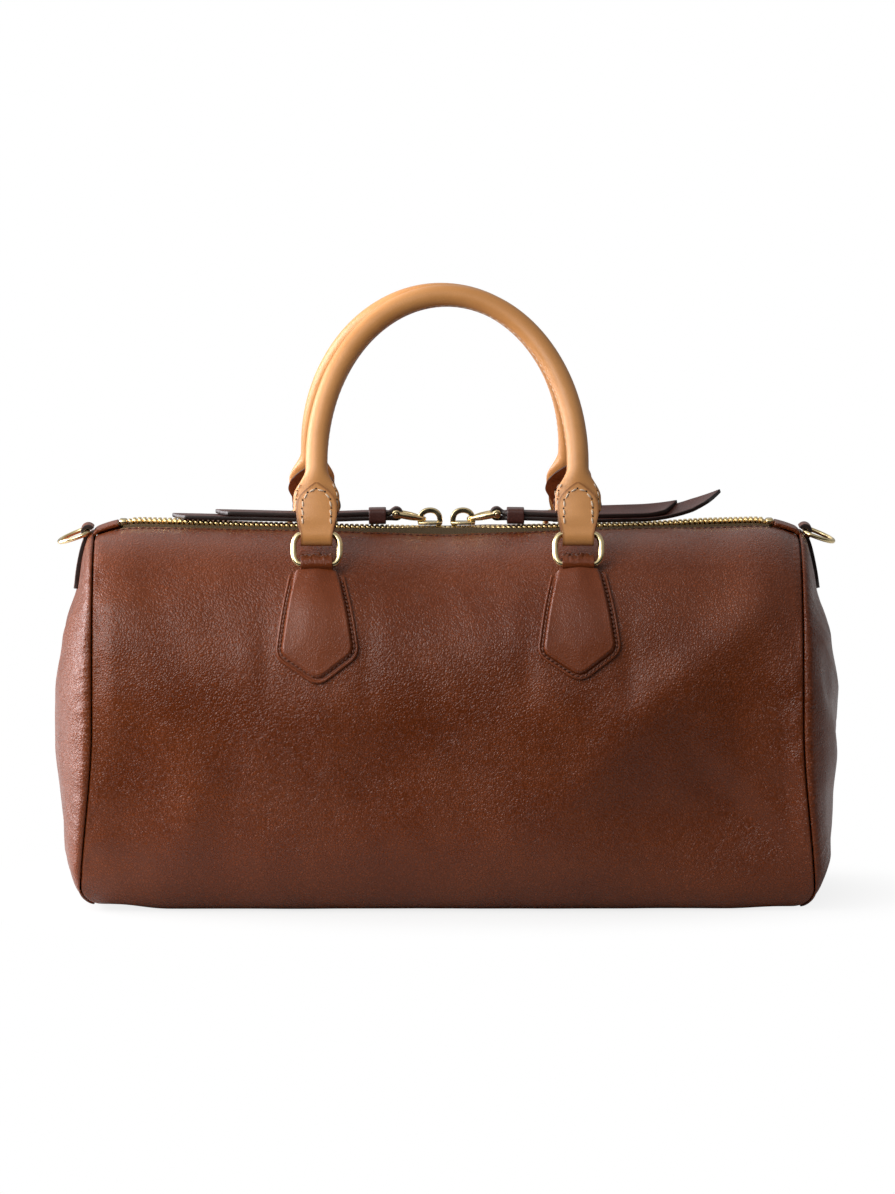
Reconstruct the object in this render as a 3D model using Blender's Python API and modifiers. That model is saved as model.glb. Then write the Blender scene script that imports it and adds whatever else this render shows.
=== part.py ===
"""A soft leather top handle bag with two rolled handles and a two-way zip.

Metres, +Z up. The bag stands on z = 0 with its length along X and its front towards -Y.
Places on the bag's sides are given by how far they lie out from the middle plane (out) and by
height. A face of -1 is the front and +1 is the rear. A side of -1 is the left and +1 the right.
"""

import math

import bmesh
import bpy
from mathutils import Vector

# Gap kept between pieces that touch on the real bag
gap = 0.0003

# Shell
seam_length = 0.334
bag_depth = 0.168
end_depth_loss = 0.004
top_height = 0.1743
zip_rise = 0.0035
knee_setback = 0.022
end_drop = 0.005
widest_height_share = 0.4016
base_seam_width = 0.100
base_wrap = 0.004
upper_power = 2.6
lower_power = 2.3
shell_leather = 0.0018
seam_groove = 0.0014
seam_flare = 0.006
flare_height_share = 0.516
end_bulge = 0.0186
end_bulge_shares = (0.92, 0.86, 0.87, 0.99, 1.0, 0.85, 0.53, 0.53)
end_roundness = 3.2
end_centre_height_share = 0.459
zip_slot_width = 0.018

# Lining and base board
lining_cloth = 0.0008
lining_inset = 0.0038
lining_slot_width = 0.0386
lining_slot_length = 0.3106
lining_ring_shares = (0.0, 0.5, 0.85, 1.0, 1.0, 1.0, 1.0)
lining_reach_shares = (2.0, 2.0, 2.0, 1.79, 1.0, 0.54, 0.0)
lining_round_shares = (0.0, 1.0, 1.10, 1.22, 1.34, 1.465, 1.59, 1.72, 1.85, 1.936, 2.0)
board_length = 0.316
board_width = 0.094
board_thick = 0.002
board_corner = 0.012

# Zip
teeth_slot_width = 0.0020
teeth_width = 0.0024
teeth_thick = 0.0024
teeth_lift = 0.0003
tape_outer_reach = 0.014
tape_thick = 0.0006
tape_edge_drop = 0.0013
tape_inner_lift = 0.0003
stop_length = 0.0020
stop_width = 0.0058
stop_thick = 0.0030
strip_width = 0.0172
strip_length = 0.0098
strip_lift = 0.0002
strip_end_inset = 0.0036

# Sliders, links and pulls
slider_place = 0.0078
slider_length = 0.0116
slider_width = 0.0088
plate_thick = 0.0012
slider_neck_width = 0.0014
slider_neck_length = 0.0030
bail_height = 0.0048
bail_length = 0.0114
bail_thick = 0.0018
bail_width = 0.0024
link_wire = 0.0018
link_length = 0.0134
link_open_width = 0.0088
link_rise = 0.0026
pin_thick = 0.0019
pull_leather = 0.0015
pull_neck_width = 0.0058
pull_keeper_width = 0.0094
pull_tip_width = 0.0112
pull_long_length = 0.1060
pull_short_length = 0.0845
pull_widening = 0.0100
pull_settling = 0.0440
pull_curl_length = 0.036
pull_row_shares = (0.0, 0.055, 0.09, 0.14, 0.25, 0.38, 0.52, 0.66, 0.78, 0.89, 1.0)
pull_curl_height = 0.0085
keeper_start = 0.0048
keeper_length = 0.0082
keeper_leather = 0.0010

# Handle fittings on the front and rear
fitting_spread = 0.123
rear_shift = 0.0025
patch_drop = 0.0158
patch_length = 0.0575
patch_top_width = 0.0262
patch_wide_width = 0.0402
patch_tip_width = 0.0060
patch_wide_share = 0.66
patch_leather = 0.0011
patch_slope_width = 0.0040
strap_width = 0.0154
strap_leather = 0.0022
strap_tuck = 0.0150
ring_wire = 0.0029
ring_width = 0.0217
ring_height = 0.0145
ring_corner_width = 0.0032
ring_corner_height = 0.0064
ring_seat = 0.0030

# Handles
tube_thick = 0.0105
tube_leather = 0.0016
core_thick = 0.0066
handle_height = 0.1182
arch_start = 0.0360
leg_bottom = 0.0115
wing_top = 0.0310
wing_full = 0.0215
wing_width = 0.0222
wing_thick = 0.0052
core_bottom = 0.0335
tab_leather = 0.0024
tab_neck_width = 0.0152
tab_wide_width = 0.0219
tab_tip_width = 0.0030
tab_wide_height = 0.0125
tab_arch_height = 0.0170
tab_tip_height = 0.0268
tab_pinch_height = 0.0085
tab_row_shares = (1.0, 0.93, 0.80, 0.635, 0.47, 0.317, 0.0)
backing_leather = 0.0011
backing_bottom = 0.0080
backing_top = 0.0290

# Rings at the ends for a shoulder strap
end_ring_wire = 0.0025
end_ring_reach = 0.0146
end_ring_width = 0.0195
end_ring_corner = 0.0030
end_ring_tilt = math.radians(21)
end_ring_overhang = 0.0032
end_ring_lift = 0.0008
holder_width = 0.0120
holder_leather = 0.0020
holder_drop = 0.0276
holder_start_angle = math.radians(150)
holder_end_angle = math.radians(5)

# Sizes that follow from the ones above
seam_half = seam_length / 2
knee_reach = seam_half - knee_setback
widest_height = top_height * widest_height_share
flare_height = top_height * flare_height_share
end_centre_height = top_height * end_centre_height_share
patch_height = top_height - patch_drop
end_ring_height = top_height + zip_rise - end_drop + end_ring_lift
end_ring_out = seam_half + end_ring_overhang
holder_bottom_height = end_ring_height - holder_drop
base_flat_width = base_seam_width + 2 * base_wrap
strip_end = seam_half - strip_end_inset
teeth_length = 2 * (strip_end - strip_length - stop_length - 2 * gap)
wire_radius = ring_wire / 2
tube_radius = tube_thick / 2
fitting_place = fitting_spread / 2
bag_parts = bpy.data.collections.new("top_handle_bag")
helpers = bpy.data.collections.new("helpers")
materials = {}
outlines = {}


def clear_scene():
    for old in list(bpy.data.objects):
        bpy.data.objects.remove(old, do_unlink=True)
    bpy.context.scene.collection.children.link(bag_parts)
    bpy.context.scene.collection.children.link(helpers)
    helpers.hide_render = True


def material(name):
    """One Principled material for each finish, with its colour, roughness and metallic value."""
    finishes = {
        "brown_leather": ((0.205, 0.065, 0.038), 0.42, 0.0),
        "tan_leather": ((0.58, 0.28, 0.09), 0.38, 0.0),
        "dark_leather": ((0.075, 0.030, 0.022), 0.45, 0.0),
        "pale_gold": ((0.83, 0.66, 0.33), 0.16, 1.0),
        "zip_tape": ((0.13, 0.085, 0.040), 0.85, 0.0),
        "lining_cloth": ((0.30, 0.22, 0.15), 0.90, 0.0),
        "board": ((0.22, 0.17, 0.12), 0.80, 0.0),
        "cord": ((0.62, 0.55, 0.44), 0.90, 0.0),
    }
    if name not in materials:
        colour, roughness, metallic = finishes[name]
        made = bpy.data.materials.new(name)
        made.use_nodes = True
        shader = made.node_tree.nodes["Principled BSDF"]
        shader.inputs["Base Color"].default_value = (*colour, 1.0)
        shader.inputs["Roughness"].default_value = roughness
        shader.inputs["Metallic"].default_value = metallic
        materials[name] = made
    return materials[name]


def add_part(name, data, finish, smooth_angle=math.radians(40)):
    """Put a mesh or curve into the bag's collection under its own name."""
    part = bpy.data.objects.new(name, data)
    bag_parts.objects.link(part)
    part.data.materials.append(material(finish))
    if part.type == "MESH":
        part.data.shade_smooth()
        part.data.set_sharp_from_angle(angle=smooth_angle)
    return part


def mesh_of(name, shape):
    made = bpy.data.meshes.new(name)
    shape.to_mesh(made)
    shape.free()
    return made


def solidify(part, thickness, offset=-1.0):
    wall = part.modifiers.new("thickness", "SOLIDIFY")
    wall.thickness = thickness
    wall.offset = offset
    wall.use_even_offset = True
    return part


def sheet(name, columns, rows, place, thickness, finish, flip=False, closed=False):
    """A leather or cloth panel: a grid whose points are placed by a rule, given its thickness inwards.

    place takes two shares from 0 to 1, across and along, and gives the point on the outer face.
    """
    shape = bmesh.new()
    bmesh.ops.create_grid(shape, x_segments=columns, y_segments=rows, size=0.5)
    for point in shape.verts:
        point.co = Vector(place(point.co.x + 0.5, point.co.y + 0.5))
    if closed:
        bmesh.ops.remove_doubles(shape, verts=shape.verts, dist=gap / 30)
    if flip:
        bmesh.ops.reverse_faces(shape, faces=shape.faces)
    return solidify(add_part(name, mesh_of(name, shape), finish), thickness)


def wire(name, points, thickness, finish, closed=False, resolution=2):
    """A wire or cord: a poly curve with a round bevel and filled caps."""
    curve = bpy.data.curves.new(name, "CURVE")
    curve.dimensions = "3D"
    curve.bevel_depth = thickness / 2
    curve.bevel_resolution = resolution
    curve.use_fill_caps = not closed
    run = curve.splines.new("POLY")
    run.points.add(len(points) - 1)
    for spot, point in zip(run.points, points):
        spot.co = (*point, 1.0)
    run.use_cyclic_u = closed
    run.use_smooth = True
    return add_part(name, curve, finish)


def block(name, low, high, finish, corner=0.0):
    """A box between two corners, with its upright edges rounded when a corner radius is given."""
    shape = bmesh.new()
    bmesh.ops.create_cube(shape, size=1.0)
    for point in shape.verts:
        for axis in range(3):
            point.co[axis] = low[axis] + (point.co[axis] + 0.5) * (high[axis] - low[axis])
    if corner:
        upright = [edge for edge in shape.edges if abs(edge.verts[0].co.z - edge.verts[1].co.z) > gap]
        bmesh.ops.bevel(shape, geom=upright, offset=corner, segments=4, profile=0.5, affect="EDGES")
    return add_part(name, mesh_of(name, shape), finish)


def pivot(name, place):
    """An empty on a joint's axis, which carries the pieces that turn or slide there."""
    made = bpy.data.objects.new(name, None)
    made.location = place
    helpers.objects.link(made)
    return made


def carry(carrier, *pieces):
    bpy.context.view_layer.update()
    for piece in pieces:
        piece.parent = carrier
        piece.matrix_parent_inverse = carrier.matrix_world.inverted()


def ease(share):
    share = min(1.0, max(0.0, share))
    return share * share * (3 - 2 * share)


def blend(first, second, share):
    return first + (second - first) * share


def spread(share):
    """A share from 0 to 1 as -1 to 1, with the steps closer together towards the ends."""
    along = 2 * share - 1
    return along * (1.25 - 0.25 * along * along)


# The bag's outer form


def top_at(x):
    """Height of the top line: lowest in the middle, rising to a knee near each end, then falling."""
    reach = min(abs(x), knee_reach)
    beyond = max(0.0, abs(x) - knee_reach) / (seam_half - knee_reach)
    return top_height + zip_rise * reach / knee_reach - end_drop * beyond**2


def flared(x, height):
    """How far from the middle a point of the shell lies: its ends spread a little towards the base."""
    return x * (1 + seam_flare / seam_half * ease((flare_height - height) / flare_height))


def outline_at(x):
    """Half a cross-section at x, from the middle of the top to the middle of the base.

    Each entry holds the distance walked from the top, how far out it lies, and its height.
    """
    key = round(x / gap)
    if key in outlines:
        return outlines[key]
    top = top_at(x)
    out = bag_depth / 2 - end_depth_loss * (x / seam_half) ** 2
    flat = base_flat_width / 2
    steps = 40
    points = []
    for step in range(steps + 1):
        turn = math.pi / 2 * step / steps
        points.append(
            (
                out * math.sin(turn) ** (2 / upper_power),
                widest_height + (top - widest_height) * max(0.0, math.cos(turn)) ** (2 / upper_power),
            )
        )
    for step in range(1, steps + 1):
        turn = math.pi / 2 * step / steps
        points.append(
            (
                flat + (out - flat) * max(0.0, math.cos(turn)) ** (2 / lower_power),
                widest_height * (1 - math.sin(turn) ** (2 / lower_power)),
            )
        )
    points.append((0.0, 0.0))
    walked = 0.0
    entries = [(0.0, *points[0])]
    for before, after in zip(points, points[1:]):
        walked += math.dist(before, after)
        entries.append((walked, *after))
    outlines[key] = entries
    return entries


def walk(x, distance):
    """The point on the outline at x that lies this far along it from the middle of the top."""
    entries = outline_at(x)
    distance = min(max(distance, 0.0), entries[-1][0])
    for before, after in zip(entries, entries[1:]):
        if distance <= after[0]:
            share = (distance - before[0]) / (after[0] - before[0])
            return blend(before[1], after[1], share), blend(before[2], after[2], share)
    return entries[-1][1:]


def surface(x, distance, lift=0.0):
    """As walk, lifted off the surface along its normal. Gives how far out and how high."""
    step = shell_leather
    ahead = walk(x, distance + step)
    behind = walk(x, distance - step)
    along = Vector((ahead[0] - behind[0], ahead[1] - behind[1])).normalized()
    out, height = walk(x, distance)
    return out - along.y * lift, height + along.x * lift


def girth(x):
    return outline_at(x)[-1][0]


def distance_at_height(x, height):
    """How far along the outline the given height lies, on the upper half."""
    for before, after in zip(outline_at(x), outline_at(x)[1:]):
        if after[2] <= height:
            return blend(before[0], after[0], (before[2] - height) / (before[2] - after[2]))
    return girth(x)


def distance_at_top_reach(x, reach):
    """How far along the outline it is out by reach, near the top."""
    for before, after in zip(outline_at(x), outline_at(x)[1:]):
        if after[1] >= reach:
            return blend(before[0], after[0], (reach - before[1]) / (after[1] - before[1]))
    return girth(x)


def end_bulge_at(height):
    """How far the end swells beyond its seam at a height: most at mid height, least near the top."""
    place = min(max(height / top_height, 0.0), 1.0) * (len(end_bulge_shares) - 1)
    index = min(int(place), len(end_bulge_shares) - 2)
    share = blend(end_bulge_shares[index], end_bulge_shares[index + 1], ease(place - index))
    return end_bulge * share


def end_reach(height, ring):
    """How far out the end lies at a height, for a share ring of the way from its middle to its seam."""
    seam = flared(seam_half, height)
    swell = seam_half + end_bulge_at(height) - seam
    return seam + seam_groove + (swell - seam_groove) * math.sqrt(1 - ring**end_roundness)


def end_surface(side, turn, ring, inset=0.0):
    """A point on the domed end, at a turn from the top and a share ring of the way to the seam."""
    distance = abs(turn) / math.pi * girth(seam_half)
    out, height = surface(seam_half, distance, -inset)
    height = blend(end_centre_height, height, ring)
    return side * (end_reach(height, ring) - inset), math.copysign(out, turn) * ring, height


def end_out_at(height):
    """How far out the domed end lies at a height on the middle plane."""
    span = top_at(seam_half) - end_centre_height
    return end_reach(height, min(1.0, (height - end_centre_height) / span))


# Shell


def make_shell():
    columns = 18
    rows = 14
    for name, face in (("front_panel", -1), ("rear_panel", 1)):

        def panel(across, along, face=face):
            x = (seam_half - gap) * spread(across)
            start = distance_at_top_reach(x, zip_slot_width / 2)
            flat = girth(x) - base_flat_width / 2
            out, height = walk(x, blend(start, flat, min(1.0, along * rows / (rows - 1))))
            if along > 1 - gap:
                out = base_seam_width / 2 + gap
            return flared(x, height), face * out, height

        sheet(name, columns, rows, panel, shell_leather, "brown_leather", flip=face < 0)

    def base(across, along):
        x = flared((seam_half - gap) * spread(across), 0.0)
        return x, (along - 0.5) * base_seam_width, 0.0

    sheet("base_panel", columns, 2, base, shell_leather, "brown_leather", flip=True)
    for name, side in (("left_end_panel", -1), ("right_end_panel", 1)):
        make_end_panel(name, side)


def make_end_panel(name, side):
    """Half a sphere of points, stretched to the bag's outline and domed outwards."""
    shape = bmesh.new()
    bmesh.ops.create_uvsphere(shape, u_segments=32, v_segments=12, radius=1.0)
    below = [point for point in shape.verts if point.co.z < -0.01]
    bmesh.ops.delete(shape, geom=below, context="VERTS")
    for point in shape.verts:
        ring = math.hypot(point.co.x, point.co.y)
        turn = math.atan2(point.co.x, point.co.y)
        point.co = Vector(end_surface(side, turn, min(1.0, ring)))
    if side < 0:
        bmesh.ops.reverse_faces(shape, faces=shape.faces)
    solidify(add_part(name, mesh_of(name, shape), "brown_leather"), shell_leather)


def past_slot(slot, whole, share):
    """A length in two stretches: shares up to 1 are of the slot, and those up to 2 run on to the whole."""
    return slot * share if share <= 1 else blend(slot, whole, share - 1)


def make_lining():
    """A cloth bag just inside the shell, open along the zip."""
    last_ring = len(lining_ring_shares) - 1
    last_round = len(lining_round_shares) - 1
    slot_reach = lining_slot_length / 2
    shape = bmesh.new()
    bmesh.ops.create_uvsphere(shape, u_segments=2 * last_round, v_segments=2 * last_ring, radius=1.0)
    floor = shell_leather + board_thick + 2 * gap
    for point in shape.verts:
        polar = round(math.acos(max(-1.0, min(1.0, point.co.z))) / math.pi * 2 * last_ring)
        side = 1 if polar < last_ring else -1
        index = min(polar, 2 * last_ring - polar)
        turn = math.atan2(point.co.x, point.co.y)
        x = side * past_slot(slot_reach, seam_half, lining_reach_shares[index])
        around = lining_round_shares[round(abs(turn) / math.pi * last_round)]
        slot_distance = distance_at_top_reach(x, lining_slot_width / 2)
        distance = past_slot(slot_distance, girth(x), around)
        ring = lining_ring_shares[index]
        if ring < 1.0:
            around_turn = math.copysign(distance / girth(x) * math.pi, turn)
            point.co = Vector(end_surface(side, around_turn, ring, lining_inset))
        else:
            out, height = surface(x, distance, -lining_inset)
            point.co = Vector((x, math.copysign(out, turn), height))
        point.co.z = max(point.co.z, floor)
    opening = []
    for face in shape.faces:
        centre = face.calc_center_median()
        in_slot = abs(centre.y) < lining_slot_width / 2 and abs(centre.x) < slot_reach
        if in_slot and centre.z > widest_height:
            opening.append(face)
    bmesh.ops.delete(shape, geom=opening, context="FACES")
    solidify(add_part("lining", mesh_of("lining", shape), "lining_cloth"), lining_cloth)


def make_base_board():
    bottom = shell_leather + gap
    low = (-board_length / 2, -board_width / 2, bottom)
    high = (board_length / 2, board_width / 2, bottom + board_thick)
    block("base_board", low, high, "board", corner=board_corner)


# Zip


def teeth_top(x):
    return top_at(x) + teeth_lift + teeth_thick / 2


def make_zip():
    tape_inner_reach = teeth_slot_width / 2 + teeth_width + gap + tape_thick / 2
    for name, face in (("front_zip_tape", -1), ("rear_zip_tape", 1)):

        def tape(across, along, face=face):
            x = teeth_length / 2 * spread(across)
            reach = blend(tape_inner_reach, tape_outer_reach, along)
            under = walk(x, distance_at_top_reach(x, reach))[1] - shell_leather - tape_edge_drop
            beside = top_at(x) + tape_inner_lift
            share = ease((reach - tape_inner_reach) / (zip_slot_width / 2 - tape_thick - tape_inner_reach))
            return x, face * reach, blend(beside, under, share)

        sheet(name, 20, 4, tape, tape_thick, "zip_tape", flip=face < 0)
    for name, face in (("front_zip_teeth", -1), ("rear_zip_teeth", 1)):

        def teeth(across, along, face=face):
            x = teeth_length / 2 * spread(across)
            reach = teeth_slot_width / 2 + teeth_width * along
            return x, face * reach, teeth_top(x)

        sheet(name, 20, 1, teeth, teeth_thick, "pale_gold", flip=face < 0)
    for word, side in (("left", -1), ("right", 1)):
        start = teeth_length / 2 + gap
        stop_top = teeth_top(start + stop_length)
        ends = sorted((side * start, side * (start + stop_length)))
        block(
            f"{word}_zip_stop",
            (ends[0], -stop_width / 2, stop_top - stop_thick),
            (ends[1], stop_width / 2, stop_top),
            "pale_gold",
        )

        def strip(across, along, side=side):
            x = side * blend(start + stop_length + gap, strip_end, along)
            return x, (across - 0.5) * strip_width, top_at(x) + strip_lift

        sheet(f"{word}_zip_strip", 2, 4, strip, shell_leather, "brown_leather", flip=side < 0)


# Sliders, links and pulls


def make_slider(word, side):
    """A slider with its bail, the link that hooks on the bail, and a doubled leather pull."""
    centre = side * slider_place
    low_x = centre - slider_length / 2
    high_x = centre + slider_length / 2
    top = teeth_top(centre + slider_length / 2 * side)
    plate_bottom = top + gap
    plate_top = plate_bottom + plate_thick
    lower_top = top - teeth_thick - 2 * gap
    half = slider_width / 2
    upper = block(
        f"{word}_slider", (low_x, -half, plate_bottom), (high_x, half, plate_top), "pale_gold", corner=half / 3
    )
    lower = block(
        f"{word}_slider_under",
        (low_x, -half, lower_top - plate_thick),
        (high_x, half, lower_top),
        "pale_gold",
        corner=half / 3,
    )
    inner_end = centre - side * slider_length / 2
    neck_ends = sorted((inner_end + side * gap, inner_end + side * slider_neck_length))
    neck = block(
        f"{word}_slider_neck",
        (neck_ends[0], -slider_neck_width / 2, lower_top - plate_thick / 2),
        (neck_ends[1], slider_neck_width / 2, plate_bottom + plate_thick / 2),
        "pale_gold",
    )
    bail = make_bail(word, centre, plate_top)
    for piece in (lower, neck, bail):
        join = upper.modifiers.new("join", "BOOLEAN")
        join.operation = "UNION"
        join.object = piece
        bag_parts.objects.unlink(piece)
        helpers.objects.link(piece)
        piece.hide_render = True
        piece.display_type = "WIRE"
    slider_pivot = pivot(f"{word}_slider_travel", (centre, 0.0, plate_bottom))
    carry(slider_pivot, upper)

    hook_x = centre + side * (bail_length / 2 - bail_thick - gap - link_wire / 2)
    hook = Vector((hook_x, 0.0, plate_top + gap + link_wire / 2))
    pin = hook + Vector((side * link_length, 0.0, link_rise))
    make_link(word, side, hook, pin, slider_pivot)
    make_pull(word, side, pin)


def make_bail(word, centre, plate_top):
    """The arch on top of a slider, as a thick band that stands in the middle plane."""
    steps = 12

    def band(across, along):
        turn = math.pi * along
        x = centre - bail_length / 2 * math.cos(turn)
        height = (bail_height + plate_thick / 2) * math.sin(turn) ** 0.7
        return x, (across - 0.5) * bail_width, plate_top - plate_thick / 2 + height

    return sheet(f"{word}_slider_bail", 1, steps, band, bail_thick, "pale_gold")


def make_link(word, side, hook, pin, slider_pivot):
    """A forked wire link: a cross bar through the bail, and two arms that open out to the pin."""
    arm_in = bail_width / 2 + gap + link_wire / 2
    arm_out = link_open_width / 2
    rows = ((1.0, 1.0), (0.62, 0.92), (0.34, 0.42), (0.14, 0.0), (0.0, -0.55))
    arm = [hook.lerp(pin, along) + Vector((0.0, blend(arm_in, arm_out, wide), 0.0)) for along, wide in rows]
    other = [Vector((point.x, -point.y, point.z)) for point in reversed(arm)]
    fork = wire(f"{word}_link", arm + other, link_wire, "pale_gold")
    half = arm_out - link_wire / 2 - gap
    bar = bpy.data.meshes.new(f"{word}_link_pin")
    shape = bmesh.new()
    bmesh.ops.create_cone(
        shape, cap_ends=True, segments=12, radius1=pin_thick / 2, radius2=pin_thick / 2, depth=2 * half
    )
    shape.to_mesh(bar)
    shape.free()
    rod = add_part(f"{word}_link_pin", bar, "pale_gold")
    rod.rotation_euler = (math.pi / 2, 0.0, 0.0)
    rod.location = pin
    link_pivot = pivot(f"{word}_link_hinge", hook)
    carry(slider_pivot, link_pivot)
    carry(link_pivot, fork, rod)


def make_pull(word, side, pin):
    """One strap folded round the pin: the long end lies on the teeth and the short end on top of it."""
    bend = pin_thick / 2 + gap + pull_leather / 2
    slope = side * zip_rise / knee_reach
    curl = pull_curl_height if side > 0 else 0.0
    resting = teeth_top(pin.x) + gap + pull_leather / 2 - (pin.z - bend)

    def settle(distance):
        """How far the strap has come down from the pin, and then up where its end curls."""
        down = resting * ease(distance / pull_settling)
        lift = max(0.0, distance - (pull_long_length - pull_curl_length)) / pull_curl_length
        return down + slope * side * distance + curl * lift**2

    layer_steps = len(pull_row_shares) - 1
    fold_steps = 5
    total = layer_steps + fold_steps + 1 + layer_steps

    def middle_line(row):
        if row <= layer_steps:
            distance = pull_long_length * pull_row_shares[layer_steps - row]
            return distance, settle(distance) - bend
        if row <= layer_steps + fold_steps:
            turn = math.pi * (row - layer_steps) / (fold_steps + 1)
            return -bend * math.sin(turn), -bend * math.cos(turn)
        distance = pull_short_length * pull_row_shares[row - layer_steps - fold_steps - 1]
        stacked = settle(distance) - bend + pull_leather + gap
        return distance, blend(bend, stacked, ease(distance / keeper_start))

    def strap(across, along):
        row = round(along * total)
        distance, lift = middle_line(row)
        width = blend(pull_neck_width, pull_keeper_width, ease(distance / keeper_start))
        width = blend(width, pull_tip_width, ease(distance / pull_long_length))
        tip = pull_long_length if row <= layer_steps else pull_short_length
        point_share = max(0.0, 1 - (tip - distance) / pull_widening)
        skew = width / 2 * point_share * (across - 0.5)
        return (
            pin.x + side * (distance - skew),
            (across - 0.5) * width,
            pin.z + lift,
        )

    pull = sheet(f"{word}_pull", 2, total, strap, pull_leather, "dark_leather", flip=side > 0)
    pull.modifiers["thickness"].offset = 0.0
    keeper = make_keeper(word, side, pin, bend, settle)
    pull_pivot = pivot(f"{word}_pull_hinge", pin)
    carry(pull_pivot, pull, keeper)


def make_keeper(word, side, pin, bend, settle):
    """A narrow band round both layers of the pull, next to the pin."""
    low = -bend - pull_leather / 2 - gap
    start = keeper_start + pull_leather
    half = pull_keeper_width / 2 + gap

    def band(across, along):
        distance = start + keeper_length * across
        bottom = low + settle(distance)
        top = bottom + 2 * gap + 2 * pull_leather + gap
        corner = (
            (-half, bottom),
            (half, bottom),
            (half, top),
            (-half, top),
            (-half, bottom),
        )[round(along * 4)]
        return pin.x + side * distance, corner[0], pin.z + corner[1]

    keeper = sheet(f"{word}_pull_keeper", 2, 4, band, keeper_leather, "dark_leather", closed=True, flip=side > 0)
    keeper.modifiers["thickness"].offset = 1.0
    return keeper


# Handle fittings


def patch_half_width(share):
    """The kite shape: widening down from its top, then closing to a blunt tip."""
    if share < patch_wide_share:
        return blend(patch_top_width, patch_wide_width, share / patch_wide_share) / 2
    closing = (share - patch_wide_share) / (1 - patch_wide_share)
    return blend(patch_wide_width, patch_tip_width, closing**1.15) / 2


def bar_place():
    """Centre of a ring's lower bar: how far out and how high."""
    top = distance_at_height(fitting_place, patch_height)
    lift = 2 * gap + strap_leather + wire_radius
    return surface(fitting_place, top - ring_seat, lift)


def make_fitting(word, face, side):
    """The kite patch, the strap under it, and the ring that the strap holds."""
    middle = side * fitting_place - (rear_shift if face > 0 else 0.0)
    top = distance_at_height(fitting_place, patch_height)
    raised = strap_leather + gap

    def patch(across, along):
        half = patch_half_width(along)
        x = (2 * across - 1) * half
        edge = min(half - abs(x), patch_length * (1 - along))
        lift = gap + raised * ease(edge / patch_slope_width) + patch_leather
        out, height = surface(fitting_place, top + patch_length * along, lift)
        return middle + x, face * out, height

    sheet(f"{word}_patch", 8, 9, patch, patch_leather, "brown_leather", flip=face < 0)

    bar_out, bar_height = bar_place()
    ahead = walk(fitting_place, top - ring_seat + gap)
    behind = walk(fitting_place, top - ring_seat - gap)
    down_angle = math.atan2(ahead[1] - behind[1], ahead[0] - behind[0])
    bend = wire_radius + gap + strap_leather / 2
    under_steps = 4
    fold_steps = 8
    total = under_steps + fold_steps + 1
    over_length = ring_seat - gap

    def strap(across, along):
        row = round(along * total)
        x = middle + (across - 0.5) * strap_width
        if row < under_steps:
            distance = blend(top + strap_tuck, top - ring_seat + gap, row / under_steps)
            out, height = surface(fitting_place, distance, gap + strap_leather / 2)
        elif row <= under_steps + fold_steps:
            turn = down_angle - math.pi / 2 - math.pi * (row - under_steps) / fold_steps
            out = bar_out + bend * math.cos(turn)
            height = bar_height + bend * math.sin(turn)
        else:
            out = bar_out + bend * math.cos(down_angle + math.pi / 2) + over_length * math.cos(down_angle)
            height = bar_height + bend * math.sin(down_angle + math.pi / 2) + over_length * math.sin(down_angle)
        return x, face * out, height

    chape = sheet(f"{word}_strap", 1, total, strap, strap_leather, "brown_leather", flip=face > 0)
    chape.modifiers["thickness"].offset = 0.0


def ring_loop(steps=4):
    """The handle ring's middle line round the origin, as points (across, up): a rounded oval."""
    points = []
    for index, (right, up) in enumerate(((1, 1), (-1, 1), (-1, -1), (1, -1))):
        for step in range(steps + 1):
            turn = math.pi / 2 * (index + step / steps)
            across = right * (ring_width / 2 - ring_corner_width) + ring_corner_width * math.cos(turn)
            upwards = up * (ring_height / 2 - ring_corner_height) + ring_corner_height * math.sin(turn)
            points.append((across, upwards))
    return points


def lean_angle():
    """How far the handles lean in from upright, so that their tops meet in the middle plane."""
    top_out = tube_radius + gap / 2
    return math.asin((bar_place()[0] - top_out) / (ring_height + handle_height))


def handle_point(face, across, up, outwards=0.0):
    """A point in a handle's leaning plane, measured from the rings' lower bars."""
    lean = lean_angle()
    bar_out, bar_height = bar_place()
    out = bar_out - up * math.sin(lean) + outwards * math.cos(lean)
    height = bar_height + up * math.cos(lean) + outwards * math.sin(lean)
    shift = rear_shift if face > 0 else 0.0
    return across - shift, face * out, height


def make_ring(word, face, side):
    middle = side * fitting_place
    points = [handle_point(face, middle + across, ring_height / 2 + up) for across, up in ring_loop()]
    return wire(f"{word}_ring", points, ring_wire, "pale_gold", closed=True)


# Handles


def tube_line(steps=16):
    """Middle line of a handle, as points (across, up from the rings' upper bars)."""
    half = fitting_place
    legs = (leg_bottom, blend(leg_bottom, wing_full, 0.5), wing_full, blend(wing_full, wing_top, 0.5), wing_top)
    line = [(-half, up) for up in legs]
    for step in range(steps + 1):
        turn = math.pi * step / steps
        rise = (handle_height - arch_start) * math.sin(turn)
        line.append((-half * math.cos(turn), arch_start + rise))
    line += [(half, up) for up in reversed(legs)]
    return line


def sleeve_halves(up):
    """Half the sleeve's width and thickness at a height over the bar: round above, flattened below."""
    flatten = ease((wing_top - up) / (wing_top - wing_full))
    return blend(tube_radius, wing_width / 2, flatten), blend(tube_radius, wing_thick / 2, flatten)


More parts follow.
